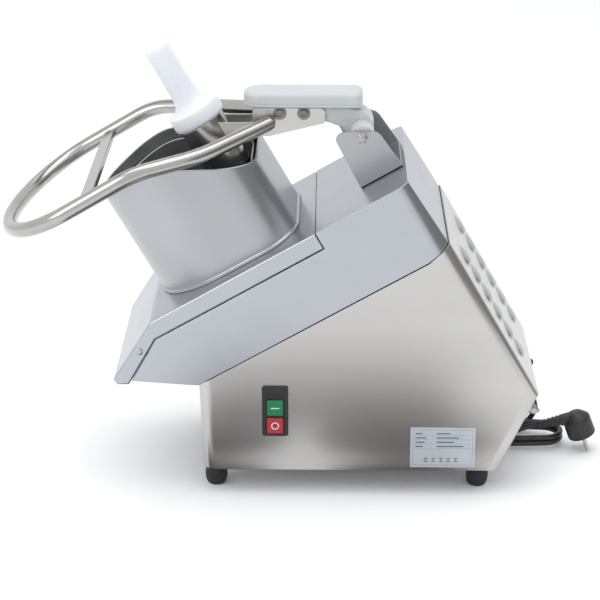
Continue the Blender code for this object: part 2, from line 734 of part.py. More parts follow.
def make_drive():
    pulley = scaled([
        (72, -115), (72, -130), (66, -130), (66, -124), (20, -124), (20, -133), (8.6, -133),
        (8.6, -112), (20, -112), (20, -119), (66, -119), (66, -115),
    ])
    turned("driven_pulley", pulley, on_spindle(), HEAD_NORMAL, CAST, on_spindle(), steps=36)
    head_prism(
        "drive_belt", belt_outline(3.3 * MM), -128.5 * MM, -116.5 * MM, RUBBER,
        holes=[belt_outline(0.4 * MM)],
    )
    motor = head(MOTOR_U, 0)
    small = scaled([(16, -113), (16, -132), (7.3, -132), (7.3, -113)])
    turned("motor_pulley", small, motor, HEAD_NORMAL, CAST, motor, steps=24)
    rod("motor_shaft", 7 * MM, head(MOTOR_U, -308 * MM), head(MOTOR_U, -110 * MM), BRIGHT, motor, 16)
    fan = scaled([
        (10, -297), (10, -299), (44, -299), (44, -303), (10, -303), (10, -307), (7.3, -307),
        (7.3, -297),
    ])
    turned("motor_fan", fan, motor, HEAD_NORMAL, BLACK, motor, steps=24)
    body = scaled([
        (50, -146), (62, -152), (62, -286), (50, -294), (7.4, -294), (7.4, -146),
    ])
    turned("motor_body", body, motor, HEAD_NORMAL, MOTOR_PAINT, steps=28)
    plate = head_box(
        "motor_plate", (-45 * MM, -103 * MM, -145.5 * MM), (115 * MM, 103 * MM, -140 * MM), STEEL
    )
    cut(plate, rod("motor_hole_cut", 20 * MM, head(MOTOR_U, -150 * MM), head(MOTOR_U, -135 * MM)))
    for name, u, top in (("front", -32, -66.4), ("rear", 105, -4.4)):
        for side, y in (("near", -92 * MM), ("far", 92 * MM)):
            join(plate, rod(
                f"motor_post_{name}_{side}", 6 * MM, head(u * MM, -142 * MM, y),
                head(u * MM, top * MM, y), steps=12,
            ))


def make_electrics():
    low_x, low_z = SWITCH_LOW
    high_x, high_z = SWITCH_HIGH
    face = -HALF - 3 * MM
    housing = box("switch_housing", (low_x, face, low_z), (high_x, -HALF - GAP, high_z), BLACK)
    inset = 3.3 * MM
    join(housing, box(
        "switch_back", (low_x + inset, face + MM, low_z + inset),
        (high_x - inset, -HALF + 30 * MM, high_z - inset),
    ))
    middle = (low_x + high_x) / 2
    half = 10 * MM
    for name, low, high, look in (
        ("green_button", 104.8 * MM, 125 * MM, GREEN), ("red_button", 82 * MM, 102.2 * MM, RED),
    ):
        cut(housing, box(
            name + "_cut", (middle - half, face - 5 * MM, low), (middle + half, face + 9 * MM, high)
        ))
        rounded_box(
            name, (middle - half + GAP, face - 1.5 * MM, low + GAP),
            (middle + half - GAP, face + 5 * MM, high - GAP), 1 * MM, look, segments=2,
        )
    box("control_box", (34 * MM, -113 * MM, 44 * MM), (104 * MM, -76 * MM, 96 * MM), BLACK)
    rod("capacitor", 18 * MM, (70 * MM, 92 * MM, 62 * MM), (150 * MM, 92 * MM, 62 * MM), WHITE)
    head_box("lid_magnet", (-16 * MM, -92 * MM, -12 * MM), (-5 * MM, -72 * MM, -3.4 * MM), BLACK)
    head_box("reed_switch", (4 * MM, -92 * MM, -18 * MM), (18 * MM, -72 * MM, -5 * MM), BLACK)


# ---- Mains lead ----

PLUG_TILT = math.radians(21)
PLUG_POINT = Vector((388.8, 14, 19.6)) * MM
NECK_START = (-4, 0, 25.5)
NECK_END = (-47.5, 0, 32.5)


def plug_place(x, y, z):
    """A point of the plug's own frame: its pin face at z = 0 and its cord towards -x."""
    turn = Euler((0, -PLUG_TILT, 0)).to_matrix()
    return PLUG_POINT + turn @ (Vector((x, y, z)) * MM)


def make_plug():
    up = plug_place(0, 0, 1) - PLUG_POINT
    body = [(0, 33), (7, 33), (9, 32), (16.5, 24.5), (17.3, 22), (17.5, 2.5), (17, 0), (0, 0)]
    plug = turned("plug", scaled(body), PLUG_POINT, up, BLACK, steps=24)
    neck = bmesh.new()
    start = plug_place(*NECK_START)
    along = plug_place(*NECK_END) - start
    bmesh.ops.create_cone(
        neck, cap_ends=True, segments=14, radius1=8.5 * MM, radius2=4.2 * MM, depth=along.length
    )
    neck.transform(axis_matrix(start, along) @ Matrix.Translation((0, 0, along.length / 2)))
    mesh = bpy.data.meshes.new("plug_neck")
    neck.to_mesh(mesh)
    neck.free()
    join(plug, add_mesh("plug_neck", mesh))
    for name, y in (("near", -9.5), ("far", 9.5)):
        rod(
            f"plug_pin_{name}", 2.4 * MM, plug_place(0, y, -19), plug_place(0, y, -0.3), BRIGHT,
            steps=12,
        )


def smooth_route(points, steps):
    """Points along a Catmull-Rom curve through the route's own points."""
    places = [Vector(p) * MM for p in points]
    places = [places[0] * 2 - places[1], *places, places[-1] * 2 - places[-2]]
    found = []
    for a, b, c, d in zip(places, places[1:], places[2:], places[3:]):
        for step in range(steps):
            t = step / steps
            found.append(0.5 * (
                2 * b + (c - a) * t + (2 * a - 5 * b + 4 * c - d) * t ** 2
                + (3 * b - a - 3 * c + d) * t ** 3
            ))
    return [*found, places[-2]]


LEAD_ROUTE = [
    (316.4, 65, 61), (326.5, 65, 53.5), (332.2, 65, 43), (333.2, 65, 31), (328.9, 65, 19.8),
    (320, 65, 10.6), (307, 65, 5.2), (290, 65, 3.8), (270, 65, 3.8), (250, 64.9, 3.8),
    (230, 64.4, 3.8), (212, 63.9, 3.8),
]
TAIL_ROUTE = [(332.3, 14, 32.9), (327, 14, 31.7), (322, 14, 30.3), (317.5, 14, 28.8)]


def stadium(half_run, radius, steps=10):
    cx, cy, _ = HANK_CENTRE
    right = arc((cx + half_run, cy), radius, -90, 90, steps)
    return right + arc((cx - half_run, cy), radius, 90, 270, steps)


def make_cord():
    gland = scaled([
        (4.8, 25.6), (6.5, 14), (10.5, 12), (10.5, 5), (12.5, 5), (12.5, 0.4), (8, 0.4), (8, -9),
        (4, -9), (4, 25.6),
    ])
    turned("cable_gland", gland, GLAND_POINT, REAR_NORMAL, BLACK, steps=16)
    add_mesh("cord_lead", tube_mesh("cord_lead", smooth_route(LEAD_ROUTE, 2), CORD_RADIUS), BLACK)
    add_mesh("cord_tail", tube_mesh("cord_tail", smooth_route(TAIL_ROUTE, 2), CORD_RADIUS), BLACK)
    hank = stadium(HANK_RUN / 2, HANK_HALF)
    low = 1.6 * MM
    mesh = outline_mesh(
        "cord_hank", [hank], (HANK_TOP - low) / 2, Vector((0, 0, (HANK_TOP + low) / 2)), Euler()
    )
    add_mesh("cord_hank", mesh, BLACK)
    make_tie()


def make_tie():
    gap = 0.35 * MM
    wall = 1.1 * MM
    half = HANK_HALF + gap
    low = 1.25 * MM
    top = HANK_TOP + gap
    near, far = HANK_CENTRE.y - half, HANK_CENTRE.y + half
    inner = [(near, low), (far, low), (far, top), (near, top)]
    outer = [
        (near - wall, low - wall), (far + wall, low - wall), (far + wall, top + wall),
        (near - wall, top + wall),
    ]
    mesh = outline_mesh("cord_tie", [outer, inner], 3 * MM, Vector((TIE_X, 0, 0)), SIDE_ON)
    add_mesh("cord_tie", mesh, BLACK)


def axis_empty(name, place):
    empty = bpy.data.objects.new(name, None)
    empty.location = place
    parts.objects.link(empty)
    return empty


def hang_on(empty, names):
    """Parents the named pieces to the empty on their joint's axis, leaving them where they are."""
    for name in names:
        obj = bpy.data.objects[name]
        obj.location = obj.location - empty.location
        obj.parent = empty


def make_joint_axes():
    hang_on(axis_empty("lever_axis", PIVOT), [
        "handle_loop", "handle_crossbar", "lever_arm", "lever_plate_near", "lever_plate_far",
        "arm_cover", "arm_bolt_front", "arm_bolt_rear", "pusher", "feed_tube", "plunger",
    ])
    hang_on(axis_empty("spindle_axis", on_spindle()), [
        "spindle", "slicing_disc", "slicing_blade_1", "slicing_blade_2", "ejector_disc",
        "driven_pulley",
    ])
    hang_on(axis_empty("motor_axis", head(MOTOR_U, 0)), ["motor_pulley", "motor_shaft", "motor_fan"])


def main():
    clear_scene()
    make_base()
    make_head_casting()
    make_lid()
    make_hopper()
    make_pusher()
    make_plunger()
    make_lever()
    make_bracket()
    make_cutting_set()
    make_drive()
    make_electrics()
    make_plug()
    make_cord()
    make_joint_axes()


main()
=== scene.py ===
"""Looks of the tabletop vegetable cutter: finer shapes, finishes, mains lead, light and camera.

Every piece is laid out in the machine's own frame. head(u, h, y) gives places on the tilted head, in
millimetres: u runs up the slope of the lid, h stands square to it and y runs across the machine.
"""

import json
from math import cos, pi, radians, sin, tan

import bmesh
import bpy
from mathutils import Euler, Matrix, Vector


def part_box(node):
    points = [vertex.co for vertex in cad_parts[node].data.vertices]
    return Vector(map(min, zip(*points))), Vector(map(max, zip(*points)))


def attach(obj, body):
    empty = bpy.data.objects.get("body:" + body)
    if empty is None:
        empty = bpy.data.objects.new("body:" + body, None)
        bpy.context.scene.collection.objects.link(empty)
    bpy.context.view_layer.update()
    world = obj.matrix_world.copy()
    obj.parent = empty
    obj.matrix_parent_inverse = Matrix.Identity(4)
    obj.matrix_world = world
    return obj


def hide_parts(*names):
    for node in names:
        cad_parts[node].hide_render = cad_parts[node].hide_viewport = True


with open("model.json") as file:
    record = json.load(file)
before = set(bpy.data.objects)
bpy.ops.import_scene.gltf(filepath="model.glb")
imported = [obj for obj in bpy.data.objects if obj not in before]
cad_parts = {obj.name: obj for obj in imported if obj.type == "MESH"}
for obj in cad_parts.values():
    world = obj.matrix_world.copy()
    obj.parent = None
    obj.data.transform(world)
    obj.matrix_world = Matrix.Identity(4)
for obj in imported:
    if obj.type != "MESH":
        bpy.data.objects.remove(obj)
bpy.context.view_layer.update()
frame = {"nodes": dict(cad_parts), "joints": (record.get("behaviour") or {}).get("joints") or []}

MM = 0.001
JOINTS = {joint["name"]: joint for joint in frame["joints"]}
NORMAL = Vector(JOINTS["spindle_spin"]["axis"]).normalized()
SPINDLE = Vector(JOINTS["spindle_spin"]["pos_m"])
PIVOT = Vector(JOINTS["lever_pivot"]["pos_m"])
ALONG = Vector((NORMAL.z, 0, -NORMAL.x))
SPINDLE_U = -118
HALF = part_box("base_housing")[1].y / MM
ACROSS = Vector((0, 1, 0))
UP = Vector((0, 0, 1))
SIDES = ((-1, "near"), (1, "far"))
SHARP_ANGLE = radians(35)

# Hopper and pusher, D-shaped in plan
HOPPER_U = -120
HOPPER = (93, -24, 45)  # radius of the front, place of the rear wall, radius of the corners
PUSHER = (84.5, -36, 38)
WALL = 2.5
RIM_STEPS = 6
RIM_LINE = [(-225, 140), (-160, 147), (-140, 147.5), (-125, 145.5), (-112, 140.5), (-15, 90)]
RIM_SHIFTS = (-6, -3, 0, 3, 6)  # the line is averaged over these
PUSHER_DROP = 14
TUBE_U = -68.5

LOOKS = {}


def head(u, h, y=0.0):
    """The world position of a point of the tilted head frame, given in millimetres."""
    return SPINDLE + ALONG * ((u - SPINDLE_U) * MM) + NORMAL * (h * MM) + ACROSS * (y * MM)


def head_outline(points):
    """(u, h) points as (x, z), in millimetres; a third value is the corner's radius and is kept."""
    return [(*(head(u, h).xz / MM), *extra) for u, h, *extra in points]


def rotation(x, y, z):
    """A turn by three angles in degrees."""
    return Euler((radians(x), radians(y), radians(z))).to_matrix().to_4x4()


HEAD_TURN = Matrix((ALONG, ACROSS, NORMAL)).transposed().to_4x4()
HEAD_FRAME = Matrix.Translation(head(0, 0)) @ HEAD_TURN
SIDE_FRAME = rotation(90, 0, 0)
STANDING = rotation(90, 0, 90)


def box_mm(node):
    """The low and the high corner of a CAD node's box, in millimetres."""
    return [[value / MM for value in corner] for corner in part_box(node)]


def linked(name, data):
    """A new object in the scene."""
    obj = bpy.data.objects.new(name, data)
    bpy.context.scene.collection.objects.link(obj)
    return obj


# ---- Finishes ----

BLOTCH_DETAIL, PATCH_DETAIL, GRAIN_DETAIL = 2.0, 1.0, 6.0
PATCH_SCALE = 0.6  # of the blotches' scale
ROUGHNESS_SWING = 0.05


def add_node(tree, kind, **values):
    node = tree.nodes.new(kind)
    for name, value in values.items():
        if hasattr(node, name):
            setattr(node, name, value)
        else:
            node.inputs[name].default_value = value
    return node


def new_material(name):
    """A new material and its nodes."""
    made = bpy.data.materials.new(name)
    made.use_nodes = True
    return made, made.node_tree


def noise_of(tree, grain, detail, share=1):
    """A noise on object coordinates. The grain is its scale per metre, or one scale for each axis."""
    scales = grain if isinstance(grain, tuple) else (grain,) * 3
    place = add_node(tree, "ShaderNodeTexCoord")
    mapping = add_node(tree, "ShaderNodeMapping")
    mapping.inputs["Scale"].default_value = [scale * share for scale in scales]
    noise = add_node(tree, "ShaderNodeTexNoise", Scale=1.0, Detail=detail)
    tree.links.new(place.outputs["Object"], mapping.inputs["Vector"])
    tree.links.new(mapping.outputs["Vector"], noise.inputs["Vector"])
    return noise.outputs["Fac"]


def spread(tree, source, low, high):
    """The noise's middle range spread between two values."""
    found = add_node(tree, "ShaderNodeMapRange")
    found.interpolation_type = "SMOOTHSTEP"
    for name, value in (("From Min", 0.2), ("From Max", 0.8), ("To Min", low), ("To Max", high)):
        found.inputs[name].default_value = value
    tree.links.new(source, found.inputs["Value"])
    return found.outputs["Result"]


def two_tones(tree, colour, shade, factor):
    """The colour, from a shade darker to a shade lighter as the factor rises."""
    mix = add_node(tree, "ShaderNodeMix", data_type="RGBA")
    for end, gain in (("A", 1 - shade), ("B", 1 + shade)):
        socket = [s for s in mix.inputs if s.name == end and s.type == "RGBA"][0]
        socket.default_value = (*[min(1.0, c * gain) for c in colour], 1)
    tree.links.new(factor, mix.inputs["Factor"])
    return [s for s in mix.outputs if s.type == "RGBA"][0]


def add_look(name, colour, roughness, metallic, grain, shade, fine, bump, **sockets):
    """A finish: blotchy colour, uneven roughness, and a fine grain that lifts the surface."""
    made, tree = new_material(name)
    shader = tree.nodes["Principled BSDF"]
    shader.inputs["Metallic"].default_value = metallic
    for socket, value in sockets.items():
        shader.inputs[socket.replace("_", " ")].default_value = value
    blotch = spread(tree, noise_of(tree, grain, BLOTCH_DETAIL), 0, 1)
    tree.links.new(two_tones(tree, colour, shade, blotch), shader.inputs["Base Color"])
    patches = noise_of(tree, grain, PATCH_DETAIL, PATCH_SCALE)
    low, high = roughness * (1 - ROUGHNESS_SWING), roughness * (1 + ROUGHNESS_SWING)
    tree.links.new(spread(tree, patches, low, high), shader.inputs["Roughness"])
    lift = add_node(tree, "ShaderNodeBump", Strength=bump, Distance=0.001)
    tree.links.new(noise_of(tree, fine, GRAIN_DETAIL), lift.inputs["Height"])
    tree.links.new(lift.outputs["Normal"], shader.inputs["Normal"])
    LOOKS[name] = made


def make_looks():
    add_look("steel", (0.545, 0.535, 0.515), 0.292, 1.0, (3, 3, 40), 0.025, (25, 25, 2600), 0.012)
    add_look("cast", (0.455, 0.475, 0.505), 0.292, 1.0, 25, 0.02, 1500, 0.012)
    add_look("satin", (0.415, 0.42, 0.435), 0.34, 1.0, 12, 0.025, (2600, 2600, 60), 0.012)
    # the hood look is the housing's steel made darker: painted shade on the louvre hoods
    add_look("hood", (0.40, 0.40, 0.395), 0.3, 1.0, 12, 0.02, (25, 25, 2600), 0.001)
    # the inner look is the satin steel made darker: painted shade for the insides of the hopper and the
    # pusher
    add_look("inner", (0.37, 0.375, 0.385), 0.34, 1.0, 12, 0.04, (2600, 2600, 60), 0.002)
    add_look("bright", (0.43, 0.42, 0.40), 0.2, 1.0, 60, 0.04, 700, 0.002)
    add_look("bolt", (0.21, 0.205, 0.195), 0.22, 1.0, 90, 0.08, 900, 0.005)
    add_look("cover", (0.47, 0.49, 0.50), 0.42, 0.0, 30, 0.02, 1800, 0.004)
    add_look("rubber", (0.014, 0.014, 0.016), 0.62, 0.0, 150, 0.3, 1200, 0.1)
    add_look("black", (0.018, 0.017, 0.018), 0.42, 0.0, 120, 0.25, 1600, 0.05)
    add_look("sheath", (0.017, 0.016, 0.017), 0.38, 0.0, 120, 0.25, 1400, 0.05)
    add_look(
        "white", (0.69, 0.715, 0.75), 0.4, 0.0, 40, 0.015, 900, 0.01,
        Subsurface_Weight=0.5, Subsurface_Scale=0.02, Subsurface_Radius=(1.0, 1.0, 1.1),
    )
    add_look("green", (0.008, 0.17, 0.065), 0.32, 0.0, 200, 0.06, 1500, 0.01)
    add_look("red", (0.38, 0.022, 0.035), 0.32, 0.0, 200, 0.06, 1500, 0.01)
    add_look("foil", (0.53, 0.575, 0.61), 0.4, 0.4, 60, 0.03, 1500, 0.01)
    add_look("paint", (0.06, 0.075, 0.09), 0.45, 0.2, 60, 0.1, 1500, 0.02)
    add_look("print", (0.08, 0.11, 0.15), 0.5, 0.0, 300, 0.1, 1500, 0.01)
    add_look("mark", (0.66, 0.70, 0.66), 0.4, 0.0, 300, 0.03, 1500, 0.01)


# ---- Building pieces ----

BEVEL_FROM = radians(25)
DOME_STEPS = (20, 40, 60, 90)


def dress(mesh, look):
    """Gives a mesh one finish, smooth faces and sharp edges where it turns."""
    mesh.materials.clear()
    mesh.materials.append(LOOKS[look])
    mesh.shade_smooth()
    mesh.set_sharp_from_angle(angle=SHARP_ANGLE)


def piece(name, mesh, body, look, *nodes):
    """A shown piece that rides on a body and stands for the CAD nodes named."""
    mesh.name = name
    obj = linked(name, mesh)
    dress(mesh, look)
    weigh = obj.modifiers.new("flat_faces", "WEIGHTED_NORMAL")
    weigh.keep_sharp = True
    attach(obj, body)
    if nodes:
        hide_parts(*nodes)
    return obj


def baked(obj):
    """The mesh that an object's curve or modifiers make; the object is removed."""
    bpy.context.view_layer.update()
    evaluated = obj.evaluated_get(bpy.context.evaluated_depsgraph_get())
    mesh = bpy.data.meshes.new_from_object(evaluated)
    bpy.data.objects.remove(obj, do_unlink=True)
    return mesh


def shape_of(*meshes):
    """One bmesh of all the meshes, which are removed."""
    shape = bmesh.new()
    for mesh in meshes:
        shape.from_mesh(mesh)
        bpy.data.meshes.remove(mesh)
    return shape


def mesh_of(shape):
    mesh = bpy.data.meshes.new("shape")
    shape.to_mesh(mesh)
    shape.free()
    return mesh


def mesh_from(shape, matrix=None):
    """A cleaned mesh from a bmesh in millimetres, put in place by the matrix."""
    bmesh.ops.remove_doubles(shape, verts=shape.verts, dist=1e-4)
    bmesh.ops.recalc_face_normals(shape, faces=shape.faces)
    shape.transform(Matrix.Scale(MM, 4))
    if matrix is not None:
        shape.transform(matrix)
    return mesh_of(shape)


def axis_frame(centre, direction):
    """Puts a shape made along +Z at the centre, pointing in the direction."""
    upright = UP.rotation_difference(Vector(direction)).to_matrix().to_4x4()
    return Matrix.Translation(centre) @ upright


def skin(shape, low, high):
    """Faces between two rows of points that close on themselves."""
    for i in range(len(low)):
        j = (i + 1) % len(low)
        shape.faces.new((low[i], low[j], high[j], high[i]))


def loft(rings, matrix=None, closed=False):
    """A skin through rings that have equally many points: closed back on itself, or capped."""
    shape = bmesh.new()
    rows = [[shape.verts.new(point) for point in ring] for ring in rings]
    for low, high in zip(rows, rows[1:]):
        skin(shape, low, high)
    if closed:
        skin(shape, rows[-1], rows[0])
    else:
        shape.faces.new(rows[0])
        shape.faces.new(rows[-1][::-1])
    return mesh_from(shape, matrix)


def circle(radius, height, steps=48, sides=0):
    """A ring of points round Z: a circle, or a polygon with that many sides and the radius as apothem."""
    found = []
    for step in range(steps):
        angle = 2 * pi * step / steps
        reach = radius
        if sides:
            part = 2 * pi / sides
            reach = radius / cos(angle % part - part / 2)
        found.append((reach * cos(angle), reach * sin(angle), height))
    return found


def turned(profile, centre, direction, steps=48, closed=False):
    """A turned solid. A profile row is (radius, height), or (apothem, height, sides) on a nut."""
    rings = [circle(max(radius, 0.01), height, steps, *sides) for radius, height, *sides in profile]
    return loft(rings, axis_frame(centre, direction), closed)


def ribs(count, start, pitch, radius, shrink, form):
    """Profile rows of ribs that get smaller; form holds one rib's rows as (drop, rise)."""
    return [
        (radius - rib * shrink - drop, start + rib * pitch + rise)
        for rib in range(count) for drop, rise in form
    ]


def rounded(corners, radius, steps=6):
    """A closed outline with its corners rounded; a corner is (a, b) or (a, b, own radius)."""
    found = []
    count = len(corners)
    for i in range(count):
        here = Vector(corners[i][:2])
        before = Vector(corners[i - 1][:2]) - here
        after = Vector(corners[(i + 1) % count][:2]) - here
        size = corners[i][2] if len(corners[i]) > 2 else radius
        half = before.angle(after) / 2
        if size <= 0 or half > radians(88):
            found.append(tuple(here))
            continue
        reach = min(size / tan(half), before.length * 0.49, after.length * 0.49)
        size = reach * tan(half)
        middle = here + (before.normalized() + after.normalized()).normalized() * (size / sin(half))
        start = here + before.normalized() * reach - middle
        sweep = start.angle_signed(here + after.normalized() * reach - middle)
        for step in range(steps + 1):
            arm = Matrix.Rotation(-sweep * step / steps, 2) @ start
            found.append(tuple(middle + arm))
    return found


def new_curve(dimensions, depth, resolution):
    data = bpy.data.curves.new("curve", "CURVE")
    data.dimensions = dimensions
    data.bevel_depth = depth
    data.bevel_resolution = resolution
    return data


def slab(outline, low, high, matrix, edge=0.0, segments=3, holes=()):
    """A flat outline in millimetres made solid between two heights, with its rims rounded."""
    data = new_curve("2D", edge, segments)
    data.fill_mode = "BOTH"
    data.extrude = (high - low) / 2 - edge
    data.offset = -edge
    for points in (outline, *holes):
        spline = data.splines.new("POLY")
        spline.points.add(len(points) - 1)
        for point, (a, b) in zip(spline.points, points):
            point.co = (a, b, 0, 1)
        spline.use_cyclic_u = True
    shape = shape_of(baked(linked("line", data)))
    shape.transform(Matrix.Translation((0, 0, (low + high) / 2)))
    return mesh_from(shape, matrix)


def side_slab(outline, low_y, high_y, edge=0.0, segments=3, holes=()):
    """An (x, z) outline as thick as the stretch of y given, all in millimetres."""
    return slab(outline, -high_y, -low_y, SIDE_FRAME, edge, segments, holes)


def joined(*meshes):
    """One mesh made of several closed ones."""
    return mesh_of(shape_of(*meshes))


def carved(mesh, *cutters, operation="DIFFERENCE", bevel=0.0, segments=4):
    """The mesh, bevelled along its sharp edges if asked, after each cutter's Boolean."""
    obj = linked("whole", mesh)
    if bevel:
        edges = obj.modifiers.new("edges", "BEVEL")
        edges.width = bevel * MM
        edges.segments = segments
        edges.limit_method = "ANGLE"
        edges.angle_limit = BEVEL_FROM
    tools = [linked("cutter", cutter) for cutter in cutters]
    for tool in tools:
        step = obj.modifiers.new("cut", "BOOLEAN")
        step.operation = operation
        step.solver = "EXACT"
        step.object = tool
    made = baked(obj)
    for tool in tools:
        bpy.data.objects.remove(tool, do_unlink=True)
    return made


def rod(radius, start, end, steps=48):
    """A plain cylinder between two world points, for cutting or as an inner core."""
    length = (end - start).length / MM
    return turned([(radius, 0), (radius, length)], start, end - start, steps)


def block(low, high, edge=0.0, segments=3, matrix=None):
    """A box between two corners in millimetres, with its edges rounded."""
    shape = bmesh.new()
    bmesh.ops.create_cube(shape, size=1)
    low, high = Vector(low), Vector(high)
    bmesh.ops.scale(shape, vec=high - low, verts=shape.verts)
    bmesh.ops.translate(shape, vec=(low + high) / 2, verts=shape.verts)
    if edge:
        bmesh.ops.bevel(
            shape, geom=shape.edges[:], offset=edge, segments=segments, profile=0.5,
            affect="EDGES", clamp_overlap=True,
        )
    return mesh_from(shape, matrix)


def arc(centre, radius, start, end, steps):
    """Points round part of a circle, between two angles in degrees."""
    found = []
    for step in range(steps + 1):
        angle = radians(start + (end - start) * step / steps)
        found.append((centre[0] + radius * cos(angle), centre[1] + radius * sin(angle)))
    return found


def corners_of(low, high, inset=0):
    """The corners of an upright rectangle, given by two opposite ones, in their order round it."""
    (a0, b0), (a1, b1) = low, high
    a0, b0, a1, b1 = a0 + inset, b0 + inset, a1 - inset, b1 - inset
    return [(a0, b0), (a1, b0), (a1, b1), (a0, b1)]


def rounded_off(route, radius):
    """The route as (point, share of the radius), with a dome over its last radius of length."""
    reach = radius * MM
    domes = []
    for tip, inner in ((route[0], route[1]), (route[-1], route[-2])):
        along = (inner - tip).normalized() * reach
        dome = []
        for degrees in DOME_STEPS:
            angle = radians(degrees)
            dome.append((tip + along * (1 - cos(angle)), sin(angle)))
        domes.append(dome)
    middle = []
    for place in route:
        if min((place - end).length for end in (route[0], route[-1])) > 1.1 * reach:
            middle.append((place, 1))
    return domes[0] + middle + domes[1][::-1]


def tube(route, radius):
    """A round tube along world points, with domed ends."""
    data = new_curve("3D", radius * MM, 6)
    data.use_fill_caps = True
    spline = data.splines.new("POLY")
    places = rounded_off(route, radius)
    spline.points.add(len(places) - 1)
    for point, (place, share) in zip(spline.points, places):
        point.co = (*place, 1)
        point.radius = share
    shape = shape_of(baked(linked("line", data)))
    shape.transform(Matrix.Scale(1 / MM, 4))
    return mesh_from(shape)


# ---- Mains lead ----

EXIT = (0.3157, 0.065, 0.0613)
LEAD_ROUTE = [
    EXIT, (0.3265, 0.065, 0.0535), (0.3322, 0.065, 0.043), (0.3332, 0.065, 0.031),
    (0.3289, 0.065, 0.0198), (0.320, 0.065, 0.0106), (0.307, 0.065, 0.0052),
    (0.290, 0.065, 0.0038), (0.270, 0.065, 0.0038), (0.250, 0.0649, 0.0038),
    (0.230, 0.0644, 0.0038), (0.212, 0.0639, 0.0038),
]
TAIL_ROUTE = [
    (0.288, 0.014, 0.0208), (0.300, 0.014, 0.0228), (0.311, 0.014, 0.0264),
    (0.322, 0.014, 0.0303), (0.3323, 0.014, 0.0329),
]
RUN_BACK = ((0.235, 0.0), (0.265, 0.0004))  # x and rise of the points between hank and tail
PLUG_Y = 0.014
CORD_SIZE = 7 * MM
FOLD_LEFT, FOLD_RIGHT = 202.5, 342.5
FOLD_Y = 35
FOLD_RADIUS = 21
FIRST_REACH = 29  # of the lead where it meets the first fold
MEETING = 0.7  # share of the first fold in which the reach narrows
TURNS = 2
FOLD_STEPS = 8
STRAP_WALL = 1.1
STRAP_HALF = 2.9
HANK_FLOOR = 3.8
TURN_RISE = 7.05
FOLD_RISE = 0.3  # share of a turn's rise along each fold


def hank_route():
    """The folded turns: round the left end, along the near side, round the right end, and back."""
    found = []
    for fold in range(2 * TURNS + 1):
        x, first = ((FOLD_LEFT, 90), (FOLD_RIGHT, -90))[fold % 2]
        for step in range(FOLD_STEPS + 1):
            reach = FOLD_RADIUS
            if fold == 0:
                part = min(1.0, step / (FOLD_STEPS * MEETING))
                reach = FIRST_REACH + (FOLD_RADIUS - FIRST_REACH) * part
            side = radians(first + 180 * step / FOLD_STEPS)
            level = fold / 2 + FOLD_RISE * step / FOLD_STEPS
            found.append(Vector((
                (x + reach * cos(side)) * MM, (FOLD_Y + reach * sin(side)) * MM,
                (HANK_FLOOR + TURN_RISE * level) * MM,
            )))
    return found


def add_cord_points(points):
    """The lead as one round curve through the points."""
    data = new_curve("3D", CORD_SIZE / 2, 5)
    data.name = "mains_cord"
    data.resolution_u = 10
    data.use_fill_caps = True
    spline = data.splines.new("BEZIER")
    spline.bezier_points.add(len(points) - 1)
    for knot, place in zip(spline.bezier_points, points):
        knot.co = place
        knot.handle_left_type = knot.handle_right_type = "AUTO"
    data.materials.append(LOOKS["sheath"])
    return linked("mains_cord", data)


def make_cord(plug_pieces):
    folds = hank_route()
    points = [Vector(p) for p in LEAD_ROUTE[:-1]] + folds
    points += [Vector((x, PLUG_Y, folds[-1].z + rise)) for x, rise in RUN_BACK]
    points += [Vector(p) for p in TAIL_ROUTE]
    cord = add_cord_points(points)
    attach(cord, "frame")
    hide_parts("cord_lead", "cord_hank", "cord_tail")


def make_tie():
    """A flat strap round the hank."""
    (x0, near, floor_z), (x1, far, top) = box_mm("cord_tie")
    middle = (x0 + x1) / 2
    outer = rounded(corners_of((near, floor_z), (far, top)), 3.2)
    inner = rounded(corners_of((near, floor_z), (far, top), STRAP_WALL), 2.4)
    low, high = middle - STRAP_HALF, middle + STRAP_HALF
    strap = slab(outer, low, high, STANDING, 0.3, 2, [inner])
    return piece("cord_strap", strap, "frame", "black", "cord_tie")


# ---- Plug ----

PLUG_TURN = rotation(0, -21, 0)
PLUG_POINT = Vector((388.8, 14, 19.6)) * MM  # middle of the face that carries the pins
PLUG_UP = PLUG_TURN.col[2].xyz
PLUG_FRAME = Matrix.Translation(PLUG_POINT) @ PLUG_TURN


def plug_place(x, y, z):
    """The world position of a point of the plug's own frame, given in millimetres."""
    return PLUG_FRAME @ (Vector((x, y, z)) * MM)


def plug_neck():
    """The ribbed sleeve between the plug and the lead."""
    start, end = plug_place(-4, 0, 25.5), plug_place(-47.5, 0, 32.5)
    length = (end - start).length / MM
    return turned([
        (0, 0), (8.6, 0), (8.1, 5),
        *ribs(5, 13, 5.2, 7.4, 0.62, ((0, 0), (0.1, 2.6), (1.2, 3), (1.3, 4.8))),
        (4.6, length - 4), (5.0, length - 3.6), (5.0, length - 1), (4.5, length), (0, length),
    ], start, end - start, 40)


def make_plug():
    body = turned([
        (0, 33), (5, 33), (7.2, 32.7), (9, 31.9), (12.6, 28.6), (16.2, 25), (17, 23.7), (17.3, 22),
        (17.4, 17), (17.5, 6), (17.5, 3.4), (17.1, 3.1), (17.1, 2.5), (17.5, 2.2), (17.4, 0.8),
        (16.8, 0), (14.6, 0), (14.3, 0.8), (0, 0.8),
    ], PLUG_POINT, PLUG_UP, 64)
    shell = piece("plug_shell", joined(body, plug_neck()), "frame", "black", "plug")
    pieces = [shell]
    for side, name in SIDES:
        pin = turned([
            (0, 0), (1.5, 0), (2.1, 0.4), (2.4, 1.2), (2.4, 9.5), (2.15, 9.8), (2.15, 18.7), (0, 18.7),
        ], plug_place(0, side * 9.5, -19), PLUG_UP, 28)
        pieces.append(piece(f"pin_{name}", pin, "frame", "bright", f"plug_pin_{name}"))
    return pieces


# ---- Hopper, pusher, tube and plunger ----

